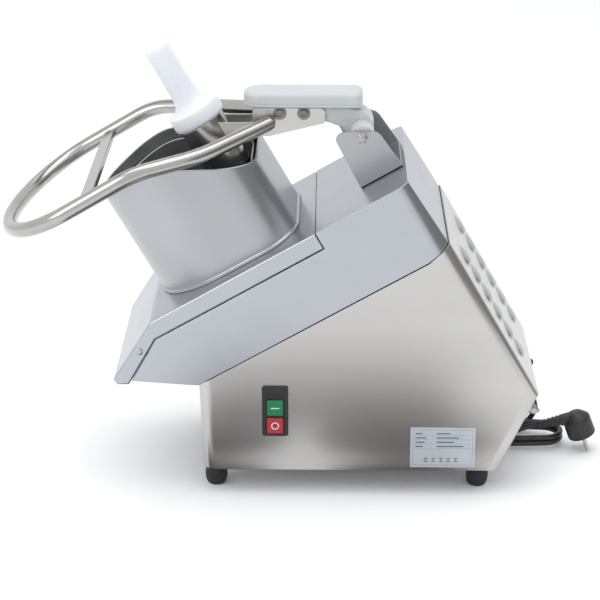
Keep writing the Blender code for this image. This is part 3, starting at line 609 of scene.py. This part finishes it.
HOPPER_FOOT = -3.4
TUB_HOLE = 28.2
INNER_FROM = 3  # lowest height of the hopper's inside that gets painted shade
INNER_LEAN = 0.3  # how straight such a face looks at the middle, as a cosine
PAINTED_SHADE_U = HOPPER_U + 35  # the pusher's faces in front of it get the painted shade of the hopper's inside


def d_ring(radius, rear, corner):
    """A D in (u, y) with points all round: 40 on the front, 12 on each side, 10 on each corner."""
    front = arc((HOPPER_U, 0), radius, 90, 270, 40)
    side = rear - corner
    low = [(HOPPER_U + (side - HOPPER_U) * i / 12, -radius) for i in range(1, 12)]
    turn = arc((side, corner - radius), corner, 270, 360, 10)
    back = [(rear, (corner - radius) * (1 - 2 * i / 6)) for i in range(1, 6)]
    other = arc((side, radius - corner), corner, 0, 90, 10)
    high = [(side + (HOPPER_U - side) * i / 12, radius) for i in range(1, 12)]
    return front + low + turn + back + other + high


def inset_ring(shape, inset):
    """The D of a (radius, rear, corner) shape, moved inwards."""
    radius, rear, corner = shape
    return d_ring(radius - inset, rear - inset, corner - inset)


def rim_height(u):
    """Height of the hopper's rim over a place on the head, with its knee rounded."""
    total = 0
    for shift in RIM_SHIFTS:
        place = min(max(u + shift, RIM_LINE[0][0]), RIM_LINE[-1][0])
        for (u0, h0), (u1, h1) in zip(RIM_LINE, RIM_LINE[1:]):
            if u0 <= place <= u1:
                total += h0 + (h1 - h0) * (place - u0) / (u1 - u0)
                break
    return total / len(RIM_SHIFTS)


def level_rings(shape, profile):
    """Level rings of a D shape, from (inset, height) rows."""
    return [[(u, y, h) for u, y in inset_ring(shape, inset)] for inset, h in profile]


def rim_rings(shape, drop):
    """The rings over a rounded rim, from its outer face to its inner one."""
    found = []
    half = WALL / 2
    for step in range(RIM_STEPS + 1):
        angle = pi * step / RIM_STEPS
        inset = half - half * cos(angle)
        below = drop + half * (1 - sin(angle))
        found.append([(u, y, rim_height(u) - below) for u, y in inset_ring(shape, inset)])
    return found


def paint_inside_shade(mesh):
    """Gives the faces that look towards the hopper's middle the darker inner look: painted shade on its
    inside.
    """
    mesh.materials.append(LOOKS["inner"])
    middle = head(HOPPER_U, 0)
    for face in mesh.polygons:
        out = face.center - middle
        height = out.dot(NORMAL) / MM
        out -= NORMAL * out.dot(NORMAL)
        faces_in = out.dot(face.normal) < -INNER_LEAN * out.length
        if faces_in and height > INNER_FROM:
            face.material_index = 1


def make_hopper():
    rings = level_rings(HOPPER, ((WALL, HOPPER_FOOT), (0, HOPPER_FOOT), (0, 5)))
    for part in (0.1, 0.35, 0.65, 0.95):
        rings.append([(u, y, 5 + (rim_height(u) - 7) * part) for u, y in inset_ring(HOPPER, 0)])
    shell = loft(rings + rim_rings(HOPPER, 0), HEAD_FRAME, closed=True)
    collar = loft(level_rings(HOPPER, (
        (1, 0.35), (-2.2, 0.35), (-2.4, 0.6), (-2.4, 1.6), (-2.1, 2.2), (-1.3, 2.6), (-0.6, 3.0),
        (-0.2, 3.6), (0.3, 4.2), (1, 4.2),
    )), HEAD_FRAME, closed=True)
    obj = piece("hopper_shell", joined(shell, collar), "frame", "satin", "hopper")
    paint_inside_shade(obj.data)


def make_pusher():
    hole = []
    for u, y in inset_ring(PUSHER, 0):
        way = Vector((u - TUBE_U, y)).normalized() * TUB_HOLE
        hole.append((TUBE_U + way.x, way.y))
    rings = [
        [(u, y, 8.1) for u, y in hole],
        *level_rings(PUSHER, ((6, 8.1), (3, 8.5), (1, 9.8), (0.2, 11.6), (0, 14))),
        *rim_rings(PUSHER, PUSHER_DROP),
        *level_rings(PUSHER, ((WALL, 16), (WALL + 0.8, 13), (WALL + 3, 11.2), (WALL + 7, 10.8))),
        [(u, y, 10.8) for u, y in hole],
    ]
    tub = piece("pusher_tub", loft(rings, HEAD_FRAME, closed=True), "lever", "satin", "pusher")
    # painted shade: the pusher's front faces take the darker inner look
    tub.data.materials.append(LOOKS["inner"])
    for face in tub.data.polygons:
        if (face.center - head(PAINTED_SHADE_U, 0)).dot(ALONG) < 0:
            face.material_index = 1


def make_feed_tube():
    wall = turned([
        (27.6, 8.6), (28, 9), (28, 60), (28, 152.6), (27.7, 153.6), (27, 154), (26.3, 153.6),
        (26, 152.6), (26, 60), (26, 9), (26.4, 8.6),
    ], head(TUBE_U, 0), NORMAL, closed=True)
    bead = turned([
        (27.5, 10.9), (31.4, 10.9), (31, 12), (29.8, 13.2), (28.4, 14.2), (27.5, 14.4),
    ], head(TUBE_U, 0), NORMAL, closed=True)
    piece("feed_tube_wall", joined(wall, bead), "lever", "bright", "feed_tube")


def make_plunger():
    profile = [
        (0, 260.9), (6, 260.8), (10.5, 260.1), (13.4, 258.6), (15, 256.3), (15.5, 253.5), (15.5, 215),
        (15.6, 196), (16.1, 188), (17.6, 182), (20.4, 178), (24.5, 175.4), (28.6, 174.2),
        (30.9, 173.2), (32, 171.4), (32, 158.6), (31.6, 156.4), (30.4, 154.7), (28, 154.5),
        (15.5, 154.5), (15.5, 27), (24, 26), (25, 25), (25, 13), (24, 12), (0, 12),
    ]
    body = turned(profile, head(TUBE_U, 0), NORMAL, 64)
    piece("plunger_body", body, "plunger", "white", "plunger")


# ---- Lever ----

LOOP_RADIUS = 9
LOOP_HALF = 139
HANDLE_SLOPE = 30.6
HANDLE_TURN = rotation(0, -HANDLE_SLOPE, 0)
HANDLE_TIP = Vector((-312, 0, 312.7)) * MM
HANDLE_DEPTH = 98  # of the rounded front, along the slope
FIRST_BEND = 188  # along the slope from the tip
SECOND_BEND = Vector((-79, 106, 419)) * MM
TUBE_END = Vector((3.8, 27.5, 438.4)) * MM
BEND_REACH = 22 * MM
COVER_CORNER = 11
COVER_EDGE = 6.5
BOLT_FACE = 20.1  # outer face of the clamp plates


def bend(before, corner, after, reach, steps=12):
    """A smooth corner: a parabola between points that lie the reach before and after it."""
    start = corner + (before - corner).normalized() * reach
    end = corner + (after - corner).normalized() * reach
    found = []
    for step in range(steps + 1):
        t = step / steps
        found.append(start * (1 - t) ** 2 + corner * 2 * t * (1 - t) + end * t ** 2)
    return found


def loop_route():
    """The bent tube's middle line, from its far end round the front to its near end."""
    lean = radians(HANDLE_SLOPE)
    slope = Vector((cos(lean), 0, sin(lean)))
    half = LOOP_HALF * MM
    front = []
    for step in range(65):
        angle = pi * (step / 64 - 0.5)
        along = slope * (HANDLE_DEPTH * MM * (1 - cos(angle)))
        front.append(HANDLE_TIP + along + ACROSS * (half * sin(angle)))
    first = HANDLE_TIP + slope * FIRST_BEND * MM + ACROSS * LOOP_HALF * MM
    side = [
        *bend(front[-1], first, SECOND_BEND, BEND_REACH),
        *bend(first, SECOND_BEND, TUBE_END, BEND_REACH), TUBE_END,
    ]
    mirrored = [Vector((p.x, -p.y, p.z)) for p in reversed(side)]
    return mirrored + front + side


def make_loop():
    piece("loop_tube", tube(loop_route(), LOOP_RADIUS), "lever", "bright", "handle_loop")


def make_crossbar():
    """The flat bar across the loop, with an oval weld bead at each end."""
    reach = LOOP_HALF - LOOP_RADIUS - 0.3
    place = Matrix.Translation(Vector((-206, 0, 375.5)) * MM) @ HANDLE_TURN
    bar = block((-8.5, -reach, -3), (8.5, reach, 3), 1.1, 4, place)
    beads = []
    for side in (-1, 1):
        foot = place @ Vector((0, side * (reach - 0.6) * MM, 0))
        bead = turned([(0, 0), (8.9, 0), (9.3, 0.8), (8.9, 1.8), (7.9, 2.5), (0, 2.5)],
                      Vector((0, 0, 0)), ACROSS * -side, 32)
        bead.transform(Matrix.Diagonal((1, 1, 0.55, 1)))
        bead.transform(Matrix.Translation(foot) @ HANDLE_TURN)
        beads.append(bead)
    piece("crossbar", joined(bar, *beads), "lever", "bright", "handle_crossbar")


def make_arm():
    outline = rounded([
        (-18, 424), (-18, 452.5), (90, 452.5), (112, 446), (121, 433), (121, 418), (107, 411, 10),
        (95, 416, 6), (84, 428, 8), (62, 436, 8), (0, 424),
    ], 3)
    web = side_slab(outline, -17, 17, 2.2, 4)
    barrel = turned([
        (0, -42.4), (12, -42.4), (13.4, -41.9), (14, -40.6), (14, 40.6), (13.4, 41.9), (12, 42.4),
        (0, 42.4),
    ], PIVOT, ACROSS, 56)
    piece("arm_body", joined(web, barrel), "lever", "cover", "lever_arm")


def make_plates():
    """The plates that clamp the feed tube to the arm, hollowed where they reach the tube."""
    outline = rounded([
        (-78, 418), (-78, 434), (-21, 434), (-21, 448), (-17, 452), (60, 452), (64, 448),
        (64, 434), (-1, 418),
    ], 3)
    for side, name in SIDES:
        low, high = sorted((side * 17.4, side * 20))
        plate = side_slab(outline, low, high, 0.4, 2)
        core = rod(28.3, head(TUBE_U, 60), head(TUBE_U, 190))
        piece(f"plate_{name}", carved(plate, core), "lever", "steel", f"lever_plate_{name}")


def cover_ring(inset, z):
    """The cover's outline: a round front end and a rear end with rounded corners."""
    (x0, _, _), (x1, half, _) = box_mm("arm_cover")
    x0, x1, half = x0 + inset, x1 - inset, half - inset
    corner = COVER_CORNER - inset
    outline = arc((x0 + half, 0), half, 90, 270, 28)
    outline += arc((x1 - corner, corner - half), corner, 270, 360, 8)
    outline += arc((x1 - corner, half - corner), corner, 0, 90, 8)
    return [(x, y, z) for x, y in outline]


def make_cover():
    (_, _, z0), (_, _, z1) = box_mm("arm_cover")
    rings = []
    for inset, rise in ((2, 0), (0.4, 0), (0, 0.5), (0, 2.6), (0.5, 3.0), (0.5, 3.4), (0.1, 3.9)):
        rings.append(cover_ring(inset, z0 + rise))
    for step in range(8):
        angle = radians(90 * step / 7)
        inset = 0.1 + COVER_EDGE * (1 - cos(angle))
        rings.append(cover_ring(inset, z1 - COVER_EDGE + COVER_EDGE * sin(angle)))
    rings.append(cover_ring(9, z1))
    piece("cover_cap", loft(rings), "lever", "cover", "arm_cover")


def socket_bolt(centre, direction):
    """A washer and a socket-head screw, its underside at the centre."""
    return joined(
        turned([(0, 0), (7.4, 0), (7.7, 0.3), (7.7, 1), (7.4, 1.3), (0, 1.3)], centre, direction),
        turned([
            (0, 1.2), (5.2, 1.2), (5.2, 4.6), (5, 5.3), (4.4, 5.6), (3.4, 5.6), (2.7, 5.2, 6),
            (2.6, 4.8, 6), (2.6, 2.6, 6), (0, 2.2),
        ], centre, direction),
    )


def make_arm_bolts():
    for x, name in ((11, "front"), (39, "rear")):
        centre = Vector((x, 0, 446)) * MM
        heads = [
            socket_bolt(centre + ACROSS * (side * BOLT_FACE * MM), ACROSS * side)
            for side in (-1, 1)
        ]
        reach = ACROSS * 20.2 * MM
        shank = rod(2.9, centre - reach, centre + reach, 24)
        piece(f"bolt_{name}", joined(shank, *heads), "lever", "bolt", f"arm_bolt_{name}")


def make_bracket():
    """The folded bracket that carries the lever: a channel cut to its side view."""
    half, wall = 47, 3
    channel = rounded([
        (-half, 0.4, 2.6), (-half, 75), (wall - half, 75), (wall - half, 3.4, 1), (half - wall, 3.4, 1),
        (half - wall, 75), (half, 75), (half, 0.4, 2.6),
    ], 0)
    place = Matrix.Translation(head(89.5, 0)) @ HEAD_TURN @ STANDING
    long = slab(channel, -30, 30, place)
    side = rounded(head_outline([
        (61, -5), (64, 64), (66, 68), (70, 70), (77, 70), (107, 54), (111, 50), (113, 44),
        (117.5, -5),
    ]), 4)
    shape = side_slab(side, -60, 60)
    made = carved(long, shape, operation="INTERSECT")
    made = carved(made, bevel=0.5, segments=2)
    piece("bracket_sheet", made, "frame", "satin", "pivot_bracket")


def make_pivot_screw():
    nuts = []
    for way in (-1, 1):
        start = PIVOT + ACROSS * (way * 46.9 * MM)
        nuts.append(turned([
            (0, 0), (7.6, 0), (7.9, 0.3), (7.9, 1.1), (7.6, 1.3), (5.5, 1.3, 6), (5.7, 1.8, 6),
            (5.7, 3.4, 6), (5.2, 4.1), (4.5, 4.2), (4.2, 5.2), (3.2, 5.9), (0, 6.1),
        ], start, ACROSS * way))
    shank = rod(4.9, PIVOT - ACROSS * 47 * MM, PIVOT + ACROSS * 47 * MM, 32)
    piece("pivot_screw", joined(shank, *nuts), "frame", "bright", "pivot_bolt")


# ---- Castings ----

LID_PIN = (-251.5, -25)
PIN_HOLE = 2.3
LID_WALL = 3
HOPPER_GAP = 0.4


def pin_hole():
    return rod(PIN_HOLE, head(*LID_PIN, -125), head(*LID_PIN, 125), 24)


def head_ears():
    outline = rounded(head_outline([(-262, -48), (-262, -25.9), (-243, -15.8), (-243, -30)]), 2)
    ears = []
    for side in (-1, 1):
        low, high = sorted((side * 108, side * 115.4))
        ears.append(carved(side_slab(outline, low, high, 0.6, 2), pin_hole()))
    return ears


def make_head():
    outline = head_outline([
        (-279, -52.4), (-227.3, -21.8), (0, -21.8), (0, 0), (121, 0), (125, -89), (118, -91.7),
        (95, -96), (-214, -96),
    ])
    plan = rounded([(-400, -HALF), (125.5, -HALF, 20), (125.5, HALF, 20), (-400, HALF)], 0, 12)
    whole = side_slab(outline, -HALF, HALF)
    whole = carved(whole, slab(plan, -130, 20, HEAD_FRAME), operation="INTERSECT")
    hollow = head_outline([(-184, -66), (-1, -66), (-1, -4), (117.5, -4), (121.3, -110), (-218, -110)])
    chute = head_outline([(-190, -62), (-222, -101), (-300, -75), (-300, -10), (-190, -10)])
    disc_chamber = rod(108, head(SPINDLE_U, -62), head(SPINDLE_U, 10), 96)
    seal_hole = rod(12, head(SPINDLE_U, -70), head(SPINDLE_U, -58))
    made = carved(
        whole, side_slab(hollow, -104, 104), disc_chamber, side_slab(chute, -112, 112), seal_hole,
        pin_hole(), bevel=2.6,
    )
    piece("head_body", joined(made, *head_ears()), "frame", "cast", "head_casting")


def make_lid():
    outline = rounded(head_outline([
        (-0.5, -21.3), (-0.5, 0), (-222, 0, 22), (-297.3, -40.2, 3), (-296.7, -48, 2), (-284.3, -54.9),
        (-227.5, -21.3),
    ]), 0)
    whole = side_slab(outline, -HALF, HALF, 2.5, 4)
    inside = head_outline([(-3.5, -3), (-221.3, -3), (-293.2, -41.4), (-293.2, -75), (-3.5, -75)])
    radius, rear, corner = HOPPER
    hopper_hole = d_ring(radius + HOPPER_GAP, rear + HOPPER_GAP, corner)
    made = carved(
        whole, side_slab(inside, LID_WALL - HALF, HALF - LID_WALL),
        slab(hopper_hole, -10, 10, HEAD_FRAME), pin_hole(),
    )
    piece("lid_body", made, "frame", "cast", "lid")


def make_hinge_pins():
    for side, name in SIDES:
        pin = turned([
            (0, 1.8), (2.2, 1.8), (3.2, 1.5), (4, 0.8), (4, 0.3), (2, 0.3), (2, -13), (0, -13),
        ], head(*LID_PIN, side * HALF), ACROSS * side, 32)
        piece(f"hinge_pin_{name}", pin, "frame", "bright", f"lid_pin_{name}")


# ---- Base ----

REAR_KINK = (318.3, 128)
REAR_FOOT = (274.5, 33)
REAR_NORMAL = Vector((95, 0, -43.8)).normalized()
GLAND_POINT = Vector((292.5, 65, 72)) * MM
BUMPER_POINT = Vector((314.53, 8, 119.83)) * MM
STUD_POINT = Vector((308.4, -96, 106.5)) * MM
SHEET = 1.5
CORNER = 15
BASE_FOLDS = (2, 4, 5)  # lines of the outline along which the sheet turns into its sides
BASE_OPEN = (0, 1, 3)  # stretches of the outline left open: under the head, and below
FLUTE = 0.45
SWITCH_BORDER = 3
CORE_BORDER = 3.3
BUTTON_GAP = 0.3
BUTTON_ROOM = 3.6  # behind the buttons
MARK_PROUD = 0.08
GLAND_HOLE = 8.3
LOUVRE_COLUMNS = (-48, 62)
LOUVRE_ROWS = 6
LOUVRE_TOP = (127, -133)
LOUVRE_STEP = 27
LOUVRE_HALF = (21, 13.5)
LOUVRE_RISE = 5.8
LOUVRE_OPENING = -9
LOUVRE_SHEET = 0.8
LOUVRE_POINTS = 48
REAR_TURN = Matrix((ACROSS, NORMAL, ALONG)).transposed().to_4x4()


def base_outline():
    """The sheet's side view: along the head, down the front, underneath, and up the rear."""
    seam = head_outline([(127, -89.6), (95, -97.2), (-214.5, -96.6)])
    return seam + [(-79, 33), REAR_FOOT, REAR_KINK]


def base_sheet():
    """Sheet wrapped round the base's outline and closed by both sides, rounded along the folds."""
    outline = base_outline()
    shape = bmesh.new()
    near = [shape.verts.new((x, -HALF, z)) for x, z in outline]
    far = [shape.verts.new((x, HALF, z)) for x, z in outline]
    count = len(outline)
    rims = []
    for side in (near, far):
        shape.faces.new(side)
        rims += [shape.edges.get((side[i], side[(i + 1) % count])) for i in BASE_FOLDS]
    doomed = []
    for i in range(count):
        j = (i + 1) % count
        face = shape.faces.new((near[i], near[j], far[j], far[i]))
        if i in BASE_OPEN:
            doomed.append(face)
    bmesh.ops.delete(shape, geom=doomed, context="FACES_ONLY")
    bmesh.ops.recalc_face_normals(shape, faces=shape.faces)
    bmesh.ops.bevel(
        shape, geom=rims, offset=CORNER, segments=10, profile=0.5, affect="EDGES", clamp_overlap=True
    )
    obj = linked("sheet", mesh_from(shape))
    wall = obj.modifiers.new("wall", "SOLIDIFY")
    wall.thickness = SHEET * MM
    wall.offset = -1
    wall.use_even_offset = True
    return baked(obj)


def louvre_places():
    u, top = LOUVRE_TOP
    for y in LOUVRE_COLUMNS:
        for row in range(LOUVRE_ROWS):
            yield Matrix.Translation(head(u, top - LOUVRE_STEP * row, y)) @ REAR_TURN


def louvre(place):
    """A pressed hood that rises towards its lower edge, where it is open."""
    shape = bmesh.new()
    wide, high = LOUVRE_HALF
    rows = []
    for step in range(11):
        reach = cos(radians(9 * step))
        row = []
        for turn in range(LOUVRE_POINTS):
            angle = 2 * pi * turn / LOUVRE_POINTS
            a, b = reach * cos(angle), reach * sin(angle)
            rise = LOUVRE_RISE * (1 - reach ** 3) * (0.62 - 0.38 * b)
            row.append(shape.verts.new((wide * a, high * b, rise - 0.1)))
        rows.append(row)
    for low, top in zip(rows, rows[1:]):
        skin(shape, low, top)
    bmesh.ops.remove_doubles(shape, verts=shape.verts, dist=1e-3)
    everything = shape.verts[:] + shape.edges[:] + shape.faces[:]
    bmesh.ops.bisect_plane(
        shape, geom=everything, plane_co=(0, LOUVRE_OPENING, 0), plane_no=(0, -1, 0), clear_outer=True,
    )
    bmesh.ops.recalc_face_normals(shape, faces=shape.faces)
    bmesh.ops.solidify(shape, geom=shape.faces[:], thickness=LOUVRE_SHEET)
    return mesh_from(shape, place)


def make_housing():
    """The base's sheet, with openings for the switch, the gland and behind every louvre."""
    (x0, _, z0), (x1, _, z1) = box_mm("switch_housing")
    switch_hole = block(
        (x0 + SWITCH_BORDER, -HALF - 5, z0 + SWITCH_BORDER),
        (x1 - SWITCH_BORDER, -HALF + 5, z1 - SWITCH_BORDER),
    )
    slots = joined(*[
        slab(arc((0, 0), 17, 180, 360, 12), -8, 8, place @ Matrix.Diagonal((1, 0.5, 1, 1)))
        for place in louvre_places()
    ])
    reach = REAR_NORMAL * 6 * MM
    gland = rod(GLAND_HOLE, GLAND_POINT - reach, GLAND_POINT + reach)
    made = carved(base_sheet(), switch_hole, gland, slots)
    piece("housing", made, "frame", "steel", "base_housing")
    hoods = [louvre(place) for place in louvre_places()]
    # the hoods take the darker hood look, painted shade on the pressed steel
    piece("louvre_hoods", joined(*hoods), "frame", "hood")


def foot_rings():
    """A barrel-shaped rubber foot with shallow flutes, and the stud on top of it."""
    rings = [circle(0.01, 33.8), circle(8.2, 33.8), circle(8.2, 26.2)]
    for radius, z in ((11, 23), (12.6, 19), (13.3, 16), (13.45, 10), (12.6, 5), (11.4, 2.2)):
        ring = []
        for step in range(48):
            angle = 2 * pi * step / 48
            reach = radius - FLUTE * (1 - abs(cos(6 * angle)))
            ring.append((reach * cos(angle), reach * sin(angle), z))
        rings.append(ring)
    return rings + [circle(9.5, 0.1), circle(6, 0.1), circle(5.4, 1.2), circle(0.01, 1.2)]


def make_feet():
    for end in ("front", "rear"):
        for side in ("near", "far"):
            node = f"foot_{end}_{side}"
            low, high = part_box(node)
            centre = Vector(((low.x + high.x) / 2, (low.y + high.y) / 2, 0))
            mesh = loft(foot_rings(), Matrix.Translation(centre))
            piece(f"rubber_{end}_{side}", mesh, "frame", "rubber", node)


def make_bumper():
    piece("bumper_cap", turned([
        (0, 7.5), (3, 7.4), (5, 6.9), (6.1, 5.8), (6.5, 4.2), (6.5, 0.35), (0, 0.35),
    ], BUMPER_POINT, REAR_NORMAL, 32), "frame", "rubber", "rear_bumper")


def make_earth_stud():
    piece("earth_stud", turned([
        (0, 13), (2.4, 13), (3, 12.4), (3, 9), (5.2, 9, 6), (5.5, 8.4, 6), (5.5, 4.4, 6), (5.2, 4, 6),
        (7, 4), (7, 2.8), (6.2, 2.6), (6.2, 2.2), (7, 2), (7, 0.4), (0, 0.4),
    ], STUD_POINT, REAR_NORMAL, 36), "frame", "bright", "earth_terminal")


def make_gland():
    """The gland's flange and nut, then a ribbed sleeve, all open along the middle for the lead."""
    piece("gland_body", turned([
        (4.0, -9), (8, -9), (8, 0.4), (12, 0.4), (12.4, 0.8), (12.4, 4.6), (12, 5), (10.3, 5, 6),
        (10.3, 11.4, 6), (9.6, 12), (7.4, 12.4),
        *ribs(4, 13.2, 3, 7, 0.5, ((0, 0), (0.1, 1.5), (0.8, 1.8), (0.9, 2.8))),
        (5, 25.3), (4.6, 25.6), (4.0, 25.6),
    ], GLAND_POINT, REAR_NORMAL, closed=True), "frame", "black", "cable_gland")


def plate_bars(width, height):
    """The plate's generic print as (a0, b0, a1, b1) bars: a thin frame, rows and a table."""
    bars = []
    for b in (3, height - 3.2):
        bars.append((3, b, width - 3, b + 0.25))
    for a in (3, width - 3.2):
        bars.append((a, 3, a + 0.25, height - 3))
    for row in range(4):
        b = height - 8.5 - row * 5.6
        bars.append((6, b, 14 + (row * 5) % 7, b + 1.5))
        bars.append((31, b, 47 + (row * 11) % 17, b + 1.5))
        bars.append((5, b - 1.7, 28, b - 1.45))
        bars.append((31, b - 1.7, width - 5, b - 1.45))
    for column in range(5):
        a = 16 + column * 9
        bars.append((a, 7.4, a + 5, 8.3))
        bars.append((a, 11.4, a + 5, 12.3))
        bars.append((18.1 + column * 9, 7.4, 18.9 + column * 9, 12.3))
    return bars


def make_label():
    """A foil rating plate, with plain bars for its print."""
    (x0, face, z0), (x1, back, z1) = box_mm("rating_plate")
    outline = rounded(corners_of((x0, z0), (x1, z1)), 1.2)
    foil = side_slab(outline, face, back, 0.12, 1)
    piece("plate_foil", foil, "frame", "foil", "rating_plate")
    bars = []
    for a0, b0, a1, b1 in plate_bars(x1 - x0, z1 - z0):
        bars.append(block((x0 + a0, face - 0.06, z0 + b0), (x0 + a1, face + 0.05, z0 + b1)))
    piece("plate_print", joined(*bars), "frame", "print")


def make_switch_frame():
    """A rounded frame round both buttons, with a sleeve and a back behind it and a bar above."""
    (x0, face, z0), (x1, _, z1) = box_mm("switch_housing")
    (_, _, green_z0), (green_x1, _, green_z1) = box_mm("green_button")
    (red_x0, _, red_z0), (_, red_back, red_z1) = box_mm("red_button")
    low = (red_x0 - BUTTON_GAP, red_z0 - BUTTON_GAP)
    high = (green_x1 + BUTTON_GAP, green_z1 + BUTTON_GAP)
    window = [rounded(corners_of(low, high), 0.8)]
    recess = red_back + BUTTON_ROOM
    outline = rounded(corners_of((x0, z0), (x1, z1)), 3)
    inner = rounded(corners_of((x0, z0), (x1, z1), CORE_BORDER), 1)
    divider_z = (green_z0 + red_z1) / 2
    mesh = joined(
        side_slab(outline, face, -HALF - 0.3, 1.1, 3, window),
        side_slab(inner, -HALF - 0.6, recess + 0.5, 0.1, 1, window),
        block((x0 + CORE_BORDER, recess, z0 + CORE_BORDER),
              (x1 - CORE_BORDER, -HALF + 30, z1 - CORE_BORDER), 0.6),
        block((low[0] - 0.5, face + 0.6, divider_z - 1),
              (high[0] + 0.5, recess + 0.5, divider_z + 1), 0.3),
        block((x0 + 3.6, face - 0.1, high[1] + 1.6), (x1 - 3.6, face + 1, z1 - 3.2), 0.5),
    )
    piece("switch_frame", mesh, "frame", "black", "switch_housing")


def make_buttons():
    for look in ("green", "red"):
        body = look + "_button"
        low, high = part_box(body)
        piece(look + "_cap", block(low / MM, high / MM, 1.1, 4), body, look, body)


def make_marks():
    """A dash on the green button and a ring on the red one."""
    low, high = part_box("green_button")
    middle = (low + high) / 2 / MM
    front = low.y / MM
    dash = block(
        (middle.x - 5, front - MARK_PROUD, middle.z - 0.6),
        (middle.x + 5, front + 0.4, middle.z + 0.6),
    )
    piece("on_mark", dash, "green_button", "mark")
    low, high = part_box("red_button")
    middle = (low + high) / 2 / MM
    centre = Vector((middle.x * MM, low.y - MARK_PROUD * MM, middle.z * MM))
    ring = turned([(3.5, 0), (4.6, 0), (4.6, 0.45), (3.5, 0.45)], centre, ACROSS, closed=True)
    piece("off_mark", ring, "red_button", "mark")


# ---- CAD nodes that stay as they are ----

KEPT = {
    "cast": ("slicing_disc", "bearing_housing", "driven_pulley", "motor_pulley"),
    "bright": ("slicing_blade_1", "slicing_blade_2", "spindle", "upper_bearing", "lower_bearing",
               "motor_shaft"),
    "steel": ("bottom_plate", "motor_plate"),
    "white": ("ejector_disc", "capacitor"),
    "black": ("control_box", "motor_fan", "lid_magnet", "reed_switch"),
    "rubber": ("spindle_seal", "drive_belt"),
    "paint": ("motor_body",),
}


def dress_kept():
    for look, names in KEPT.items():
        for name in names:
            dress(frame["nodes"][name].data, look)


# ---- Stage ----

FLOOR_COLOUR = (0.93, 0.93, 0.9393, 1)
CARD_TINT = (1, 0.98, 0.95)


def stage_plane(name, centre, size, look, matrix=None, round_card=False):
    """A flat stage piece, rectangular or oval, turned by the matrix before it is put in place."""
    shape = bmesh.new()
    if round_card:
        bmesh.ops.create_circle(shape, cap_ends=True, segments=48, radius=0.5)
    else:
        bmesh.ops.create_grid(shape, x_segments=1, y_segments=1, size=0.5)
    bmesh.ops.scale(shape, vec=(size[0], size[1], 1), verts=shape.verts)
    if matrix is not None:
        shape.transform(matrix)
    shape.transform(Matrix.Translation(centre))
    obj = linked(name, mesh_of(shape))
    obj.data.materials.append(look)
    return obj


def make_floor():
    look, tree = new_material("floor")
    shader = tree.nodes["Principled BSDF"]
    shader.inputs["Base Color"].default_value = FLOOR_COLOUR
    shader.inputs["Roughness"].default_value = 0.9
    shader.inputs["Specular IOR Level"].default_value = 0.1
    stage_plane("floor", (0, 0, 0), (40, 40), look)


def card(name, centre, size, value, matrix=None, round_card=False):
    """A board that only mirror-like surfaces see."""
    made, tree = new_material(name)
    tree.nodes.remove(tree.nodes["Principled BSDF"])
    glow = add_node(tree, "ShaderNodeEmission")
    glow.inputs["Color"].default_value = (*[value * part for part in CARD_TINT], 1)
    tree.links.new(glow.outputs["Emission"], tree.nodes["Material Output"].inputs["Surface"])
    board = stage_plane(name, centre, size, made, matrix, round_card)
    for rays in ("camera", "diffuse", "shadow", "transmission", "volume_scatter"):
        setattr(board, "visible_" + rays, False)


def make_cards():
    """Glowing boards that give painted reflections: the side of the base mirrors the worktop in front of
    it, with two loose discs whose rims are in painted shade and a grey patch, and the hopper's corner the
    room behind; a dim strip overhead streaks the tubes.
    """
    card("left_disc_card", (-0.083, -0.275, 0.003), (0.21, 0.13), 0.08, round_card=True)
    card("right_disc_card", (0.172, -0.272, 0.003), (0.25, 0.13), 0.12, round_card=True)
    card("left_rim_card", (-0.09, -0.16, 0.003), (0.19, 0.075), 0.02, round_card=True)
    card("right_rim_card", (0.165, -0.16, 0.003), (0.2, 0.075), 0.02, round_card=True)
    card("grey_floor_card", (0.07, -0.395, 0.002), (0.34, 0.17), 0.24)
    card("room_card", (1.2, -0.3, 0.62), (0.95, 2.1), 0.3, rotation(0, 90, 0))
    card("streak_card", (-0.1, 0.55, 1.5), (2.4, 0.35), 0.2, rotation(-35, 0, 0))


def area_light(name, place, aim, size, power):
    data = bpy.data.lights.new(name, "AREA")
    data.shape = "RECTANGLE"
    data.size, data.size_y = size
    data.energy = power
    obj = linked(name, data)
    obj.location = place
    obj.rotation_euler = (Vector(aim) - Vector(place)).to_track_quat("-Z", "Y").to_euler()


def make_lights():
    world = bpy.data.worlds.new("studio")
    bpy.context.scene.world = world
    world.use_nodes = True
    backdrop = world.node_tree.nodes["Background"]
    backdrop.inputs["Color"].default_value = (0.97, 0.985, 1.0, 1)
    backdrop.inputs["Strength"].default_value = 1.0
    area_light("overhead", (0.1, 0.1, 2.2), (0.05, 0, 0.1), (2.4, 2.0), 20)
    area_light("left_front", (-1.6, -1.2, 1.5), (0, 0, 0.2), (1.0, 1.4), 12)


def make_camera():
    data = bpy.data.cameras.new("camera")
    data.lens = 120
    data.sensor_width = 36
    camera = linked("camera", data)
    camera.location = (0.066, -2.274, 1.090)
    camera.rotation_euler = (radians(68.72), 0, radians(0.8))
    bpy.context.scene.camera = camera
    bpy.context.scene.view_settings.view_transform = "Standard"


def make_scene():
    make_looks()
    make_camera()
    make_lights()
    make_floor()
    make_cards()
    make_cord([*make_plug(), make_tie()])
    make_hopper()
    make_pusher()
    make_feed_tube()
    make_plunger()
    make_loop()
    make_crossbar()
    make_arm()
    make_plates()
    make_cover()
    make_arm_bolts()
    make_bracket()
    make_pivot_screw()
    make_head()
    make_lid()
    make_hinge_pins()
    make_housing()
    make_feet()
    make_bumper()
    make_earth_stud()
    make_gland()
    make_label()
    make_switch_frame()
    make_buttons()
    make_marks()
    dress_kept()


make_scene()
